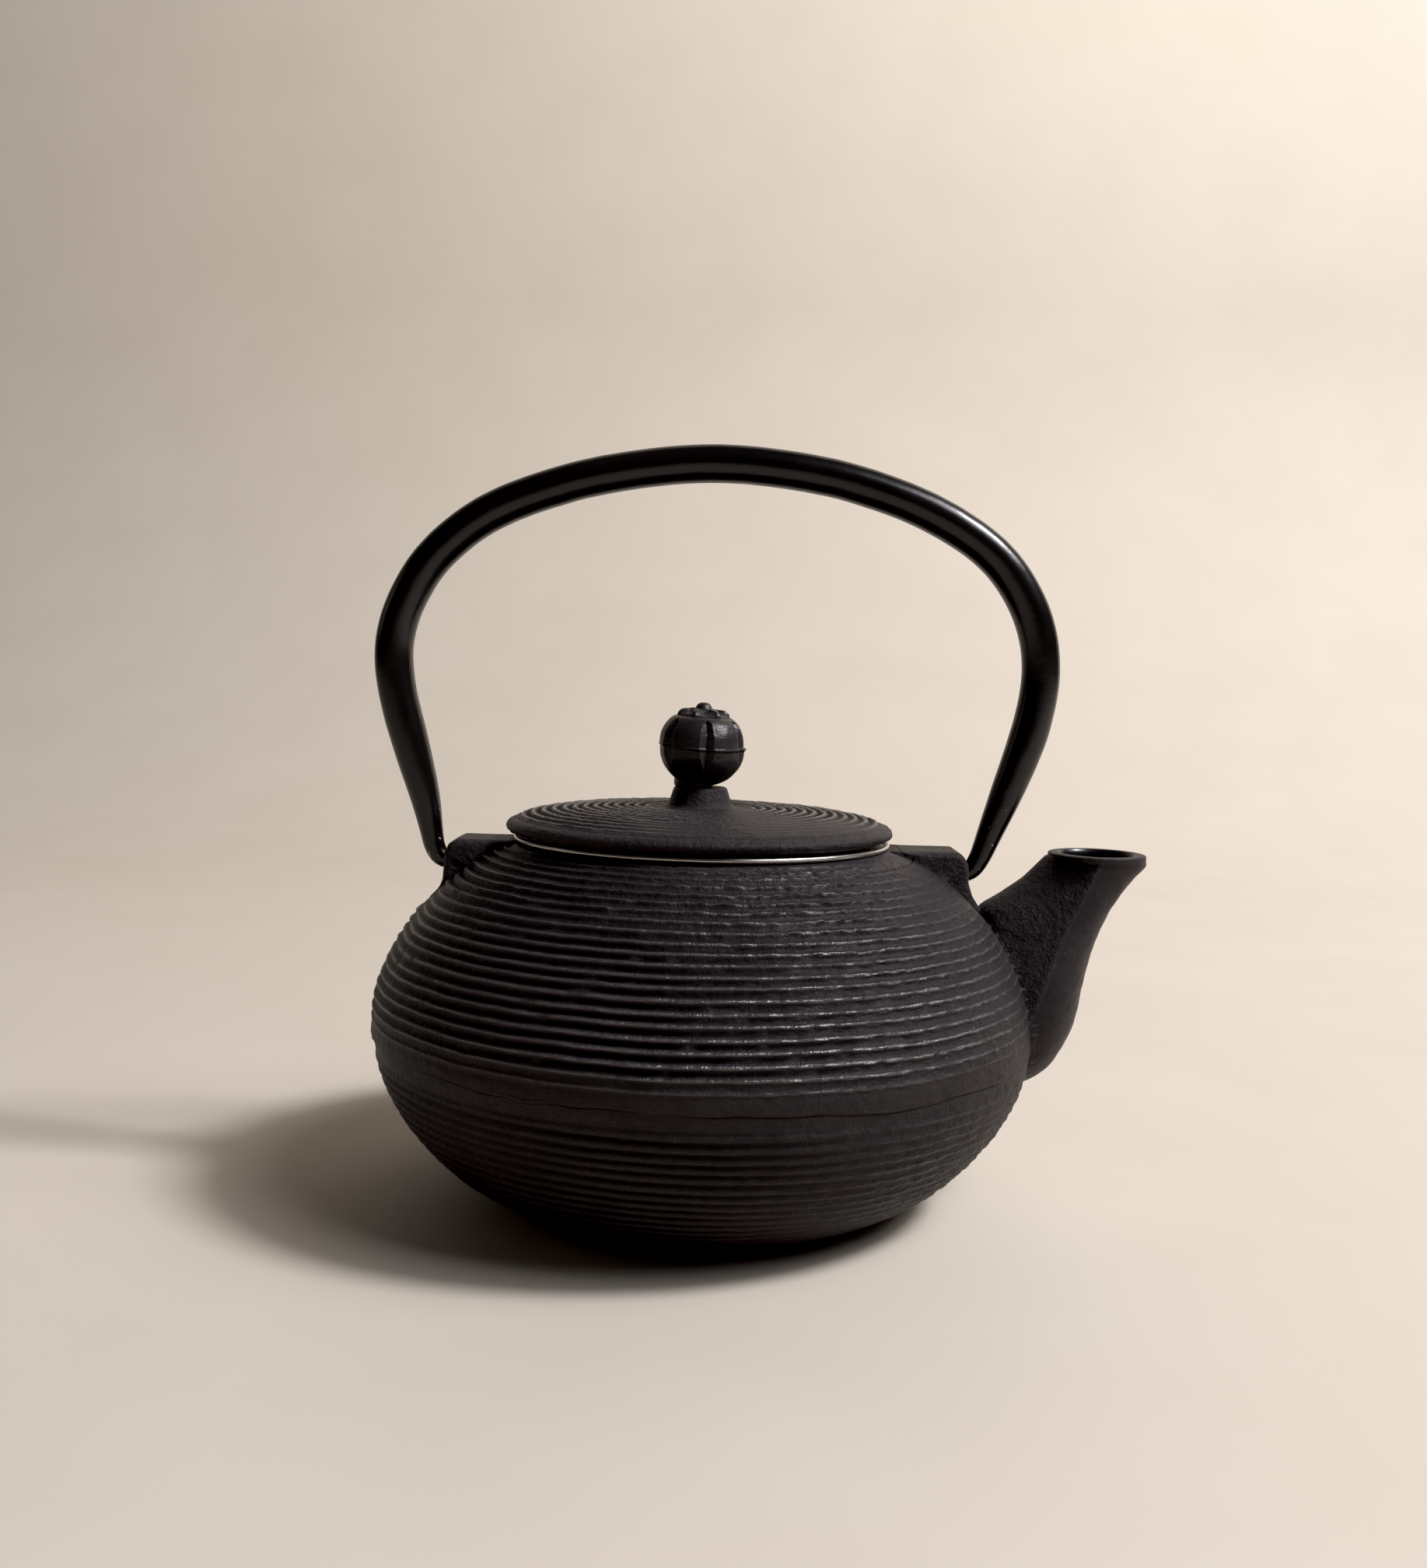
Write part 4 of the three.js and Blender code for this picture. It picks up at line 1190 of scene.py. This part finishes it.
def knob_rings(cols):
    """The grooved ball with its seam, and the scooped cap with a small nub above it."""
    angle = wrap(round_angles(cols))
    spacing = np.pi / 3
    front = -np.pi / 2 + math.radians(7.5)      # azimuth of the front groove
    nearest = np.round((angle - front) / spacing) * spacing + front
    away = np.abs(wrap(angle - nearest))        # angle from the nearest of six grooves
    ball, length = trace(KNOB_BALL)
    seam = np.interp(KNOB_SEAM_Z, ball[:, 1], length)
    at = np.unique(np.r_[np.linspace(0, length[-1], 150), seam + np.linspace(-0.8, 0.8, 26)])
    flash = 0.33 + 0.16 * np.cos(angle - 0.25) + 0.05 * np.sin(5 * angle + 1.0)
    flash = flash + 0.03 * np.sin(11 * angle)
    rings = []
    for base, z in resample(at, length, ball):
        half_width = (0.165 * smoothstep(-6.4, -0.5, z) ** 0.8
                      * (1 - 0.20 * smoothstep(2.0, 5.0, z)) * (1 - smoothstep(5.5, 6.5, z)))
        depth = 0.95 * min(1.0, half_width / 0.13)
        radius = np.full(cols, base)
        if half_width > 0.004:
            across = away / half_width
            radius = radius - depth * np.clip(1 - across, 0, 1) ** 0.92
            radius = radius + 0.05 * bell(across - 1.15, 0.22)
        # a thin ledge of flash where the mould halves met, flat above and sloping below
        above_seam = z - KNOB_SEAM_Z
        radius = radius + flash * bell(above_seam, 0.15 if above_seam > 0 else 0.42)
        # the halves are a little out of line
        shift = (0.13 if z < 0.05 else -0.10) * smoothstep(0.3, 5, base)
        rings.append(np.stack([radius * np.cos(angle) + shift, radius * np.sin(angle),
                               np.full(cols, KNOB_MIDDLE + z)], -1))
    across = away / math.radians(30)
    scoop = np.clip(1 - (across / 0.84) ** 2, 0, 1) ** 0.75
    for base, z in smooth_curve(KNOB_CAP, 66):
        dip = smoothstep(1.95, 3.3, base) * (1 - 0.70 * smoothstep(4.9, 5.7, base))
        radius = base - 0.42 * scoop * smoothstep(4.4, 5.5, base)
        radius = radius + 0.10 * (1 - scoop) * smoothstep(3.5, 5.4, base)
        top = KNOB_MIDDLE + z - dip * scoop * (1 if z < 8.4 else 0.4)
        rings.append(np.stack([radius * np.cos(angle) - 0.10, radius * np.sin(angle), top], -1))
    return np.array(rings)


def make_knob():
    cols = count(384)
    rings = knob_rings(cols)
    rows = len(rings)
    lumps = 0.035 * noise(rows, cols, 26, 16) + 0.022 * noise(rows, cols, 60, 48)
    outward = rings.copy()
    outward[:, :, 2] -= KNOB_MIDDLE
    outward /= np.maximum(np.linalg.norm(outward, axis=2, keepdims=True), 1e-6)
    knob = skin_rings("knob_ball", rings + outward * lumps[:, :, None])
    # the ball is cast a little crooked on its boss
    lean = math.radians(2.5)
    knob.data.transform(
        Matrix.Translation((0.04 * MM, 0, KNOB_MIDDLE * MM)) @ Matrix.Rotation(lean, 4, "Y")
        @ Matrix.Rotation(lean, 4, "X") @ Matrix.Translation((0, 0, -KNOB_MIDDLE * MM)))
    # the boss under the ball, off its axis, and the bore for the rivet
    stub = turned("stub", rounded(KNOB_STUB, [0, 0.15, 1, 0.5, 0], 0.3, closed=False), 96,
                  closed=False, rough=0.05)
    move_x(stub, -1.6)
    boolean(knob, stub, "UNION")
    bore = turned("bore", step_along(KNOB_BORE, 1.0), 48, closed=False)
    boolean(knob, bore, "DIFFERENCE")
    knob.data.materials.clear()
    stand_on_joint(knob)
    set_attribute(knob, "grain", np.full(len(knob.data.vertices), 1.0))
    finish_piece(knob, KNOB_IRON, 32, "knob", "lid_knob")


def make_rivet():
    profile = np.vstack([smooth_curve(RIVET_HEAD, 26), step_along(RIVET_SHANK, 0.5)])
    rivet = turned("rivet", profile, 72, closed=False, rough=0.03)
    stand_on_joint(rivet)
    finish_piece(rivet, RIVET_STEEL, 40, "knob", "knob_rivet")


def make_washer():
    washer = turned("washer", rounded(WASHER, [0.1, 0.2, 0.25, 0.1], 0.15), 96, rough=0.012)
    stand_on_joint(washer)
    finish_piece(washer, RIVET_STEEL, 40, "knob", "rivet_washer")


# ---------------------------------------------------------------- tea basket

HOLE_RADIUS = 0.56
HOLE_PITCH = 1.9
ROW_PITCH = HOLE_PITCH * 0.87
HOLE_SIDES = 8
PIN_HALF_LENGTH = 1.2
X_AXIS, Y_AXIS, Z_AXIS = np.eye(3)


def punch(sheet, pins):
    """Cuts small holes through a sheet; each pin is its centre, two sides and its axis."""
    angles = round_angles(HOLE_SIDES) + np.pi / 8
    i = np.arange(HOLE_SIDES)
    j = (i + 1) % HOLE_SIDES
    points, quads, triangles = [], [], []
    for number, (centre, side, up, axis) in enumerate(pins):
        first = number * (2 * HOLE_SIDES + 2)
        second = first + HOLE_SIDES
        pole = np.full(HOLE_SIDES, second + HOLE_SIDES)
        reach = axis * PIN_HALF_LENGTH
        circle = np.cos(angles)[:, None] * side + np.sin(angles)[:, None] * up
        ring = centre - reach + HOLE_RADIUS * circle
        points.append(np.vstack([ring, ring + 2 * reach, centre - reach, centre + reach]))
        quads.append(np.stack([first + i, first + j, second + j, second + i], 1))
        triangles.append(np.stack([first + j, first + i, pole], 1))
        triangles.append(np.stack([second + i, second + j, pole + 1], 1))
    cutter = add_mesh("pins", np.vstack(points), np.vstack(quads), np.vstack(triangles))
    boolean(sheet, face_out(cutter), "DIFFERENCE")
    sheet.data.materials.clear()


def finish_basket(ob, material, cad_piece):
    move_x(ob, BASKET_X)
    finish_piece(ob, material, 40, "basket", cad_piece)


def make_basket_rim():
    """A collar with a flange whose outer edge is rolled into a bead."""
    flange = radius_of(rim_low, rim_high)
    bottom, top = rim_low[2], rim_high[2]
    inner, outer = 35.8, 36.3
    bead = 0.58
    turn = np.radians(np.linspace(-128, 200, 26))
    roll = np.stack([flange - bead + bead * np.cos(turn), top - bead + bead * np.sin(turn)], 1)
    profile = np.vstack([
        step_along([(inner, bottom), (outer, bottom)], 0.25),
        step_along([(outer, bottom + 0.1), (outer, top - 1.9)], 1.0),
        smooth_curve([(outer, top - 1.9), (36.36, top - 1.45), (36.62, top - 1.14),
                      (37.1, top - 1.05), (38.4, top - 1.05), (flange - 1.15, top - 1.05)],
                     22)[1:],
        roll,
        smooth_curve([(flange - 1.28, top - 0.62), (38.4, top - 0.58), (37.0, top - 0.58),
                      (36.3, top - 0.72), (35.88, top - 1.15), (inner, top - 1.9)], 22),
        step_along([(inner, top - 2.1), (inner, bottom + 0.1)], 1.0)])
    rim = turned("basket_rim", profile, 256, rough=0.008)
    finish_basket(rim, RIM_STEEL, "infuser_rim")


def make_basket_wall():
    radius = radius_of(wall_low, wall_high)
    thick = 0.4
    bottom, top = wall_low[2], wall_high[2]
    profile = [(radius - thick, bottom), (radius, bottom), (radius, top), (radius - thick, top)]
    wall = turned("basket_wall", rounded(profile, 0.08, 2.0), 240)
    around = 112                    # holes in a row; every other row is half a hole further on
    pins = []
    for row, z in enumerate(np.arange(bottom + 5.0, rim_low[2] - 1.6, ROW_PITCH)):
        for number in range(around):
            angle = 2 * np.pi * (number + 0.5 * (row % 2)) / around
            out = np.array([math.cos(angle), math.sin(angle), 0.0])
            pins.append((out * (radius - thick / 2) + np.array([0, 0, z]),
                         np.array([-out[1], out[0], 0]), Z_AXIS, out))
    punch(wall, pins)
    finish_basket(wall, MESH_STEEL, "infuser_wall")


def make_basket_floor():
    radius = radius_of(floor_low, floor_high)
    bottom, top = floor_low[2], floor_high[2]
    thick = 0.42
    profile = rounded(
        [(0.4, bottom), (33.9, bottom), (radius, bottom + 0.8), (radius, top),
         (radius - thick, top), (radius - thick, bottom + 1.0), (33.7, bottom + thick),
         (0.4, bottom + thick)], [0, 0.4, 0.5, 0.12, 0.12, 0.4, 0.4, 0], 0.9, closed=False)
    floor = turned("basket_floor", profile, 192, closed=False)
    reach = int(31.0 / HOLE_PITCH)
    pins = []
    for i in range(-reach - 2, reach + 3):
        for j in range(-reach - 4, reach + 5):
            x, y = (i + 0.5 * (j % 2)) * HOLE_PITCH, j * HOLE_PITCH * 0.87
            if math.hypot(x, y) < 31.6:
                pins.append((np.array([x, y, bottom + thick / 2]), X_AXIS, Y_AXIS, Z_AXIS))
    punch(floor, pins)
    finish_basket(floor, MESH_STEEL, "infuser_floor")


def make_basket_foot():
    radius = radius_of(ring_low, ring_high)
    bottom, top = ring_low[2], ring_high[2]
    thick = 0.45
    profile = rounded(
        [(33.2, bottom), (35.6, bottom), (radius, bottom + 0.7), (radius, top),
         (radius - thick, top), (radius - thick, bottom + 0.85), (35.45, bottom + thick),
         (33.2, bottom + thick)], [0.15, 0.6, 0.6, 0.2, 0.2, 0.3, 0.3, 0.15], 0.3)
    foot = turned("basket_foot_ring", profile, 192, rough=0.01)
    finish_basket(foot, RIM_STEEL, "infuser_foot_ring")


# the order fixes the random draws
for make_piece in (make_pot, make_handle, make_lid, make_knob, make_rivet, make_washer,
                   make_basket_rim, make_basket_wall, make_basket_floor, make_basket_foot):
    make_piece()


# ---------------------------------------------------------------- stage, light and camera

def stage_material():
    mat = Shader("stage")
    soft = mat.noise(size=60, detail=2, rough=0.5)
    color = mat.mix(mat.ramp(soft, start=0.3, end=0.7),
                    (0.60, 0.540, 0.465), (0.62, 0.560, 0.485))
    return mat.finish(color=color, roughness=0.62, specular=0.3)


def make_stage():
    """A floor that sweeps up into a wall behind the pot."""
    half_width = 2200.0
    front, back, bend, top = -2600.0, 520.0, 420.0, 2600.0
    floor_z = -0.02
    profile = np.array(
        [(front, floor_z)]
        + [(back + bend * math.sin(turn), floor_z + bend * (1 - math.cos(turn)))
           for turn in np.linspace(0, np.pi / 2, 40)]
        + [(back + bend, top)])
    number = len(profile)
    points = np.vstack([np.stack([np.full(number, x), profile[:, 0], profile[:, 1]], 1)
                        for x in (-half_width, half_width)])
    i = np.arange(number - 1)
    quads = np.stack([i, i + number, i + number + 1, i + 1], 1)
    floor = add_mesh("studio_floor", points, quads)
    floor.data.materials.append(stage_material())


def area_light(name, direction, distance, size, power, color, size_y=None, at=(0, 0, 0.06),
               back=None):
    """A light out from a point (metres) in a direction. Its back is turned that way too,
    unless another way is given; it is round unless it has a size_y."""
    direction = Vector(direction).normalized()
    data = bpy.data.lights.new(name, "AREA")
    data.energy = power
    data.color = color
    data.shape = "RECTANGLE" if size_y else "DISK"
    data.size = size
    if size_y:
        data.size_y = size_y
    ob = bpy.data.objects.new(name, data)
    bpy.context.scene.collection.objects.link(ob)
    ob.location = Vector(at) + direction * distance
    ob.rotation_mode = "QUATERNION"
    ob.rotation_quaternion = (Vector(back) if back else direction).to_track_quat("Z", "Y")


def make_lights():
    area_light("key", direction=(0.620, -0.215, 0.755), distance=2.00, size=1.30, size_y=0.9,
               power=23.5, color=(0.99, 0.975, 1.0))
    area_light("core", direction=(0.640, -0.160, 0.750), distance=2.00, size=0.40,
               power=36.0, color=(0.98, 0.98, 1.0))
    area_light("wall_wash", direction=(0.25, 0.35, 1.0), distance=1.05, size=0.9, power=1.5,
               color=(1.0, 0.90, 0.80), at=(0, 0.15, 0.0), back=(0.0, -1.0, 0.35))
    area_light("left_fill", direction=(-1.0, 0.12, 0.35), distance=1.3, size=0.4, power=0.22,
               color=(1.0, 0.84, 0.70))


def make_world():
    """A dim surround that the camera alone sees as pale beyond the sweep."""
    dim, extra_for_camera = 0.03, 0.45
    world = bpy.data.worlds.new("studio")
    bpy.context.scene.world = world
    world.use_nodes = True
    tree = world.node_tree
    background = tree.nodes["Background"]
    background.inputs[0].default_value = (1.0, 0.95, 0.90, 1)
    background.inputs[1].default_value = dim
    ray = tree.nodes.new("ShaderNodeLightPath")
    strength = tree.nodes.new("ShaderNodeMath")
    strength.operation = "MULTIPLY_ADD"
    strength.inputs[1].default_value = extra_for_camera
    strength.inputs[2].default_value = dim
    tree.links.new(ray.outputs["Is Camera Ray"], strength.inputs[0])
    tree.links.new(strength.outputs[0], background.inputs[1])


def make_camera():
    """The camera in front of the pot, above its rim and looking slightly down."""
    yaw, pitch, roll = 0.003718, 0.070565, 0.027323     # radians
    forward = Vector((math.sin(yaw) * math.cos(pitch), math.cos(yaw) * math.cos(pitch),
                      -math.sin(pitch)))
    level = Vector((math.cos(yaw), -math.sin(yaw), 0.0))
    upright = level.cross(forward)
    right = level * math.cos(roll) + upright * math.sin(roll)
    above = upright * math.cos(roll) - level * math.sin(roll)
    data = bpy.data.cameras.new("camera")
    data.sensor_fit = "AUTO"
    data.sensor_width = 36.0
    data.lens = 35.3798214
    data.clip_start = 0.01
    data.clip_end = 20.0
    camera = bpy.data.objects.new("camera", data)
    bpy.context.scene.collection.objects.link(camera)
    place = Matrix((right, above, -forward)).transposed().to_4x4()
    place.translation = Vector((0.0, -0.34257, 0.11457))
    camera.matrix_world = place
    bpy.context.scene.camera = camera


def set_view():
    view = bpy.context.scene.view_settings
    view.view_transform = "Standard"
    view.look = "None"
    view.exposure = 0.0
    view.use_curve_mapping = True
    view.curve_mapping.black_level = (0.0038, 0.0042, 0.0039)
    view.curve_mapping.update()


make_stage()
make_lights()
make_world()
make_camera()
set_view()

bpy.context.view_layer.update()
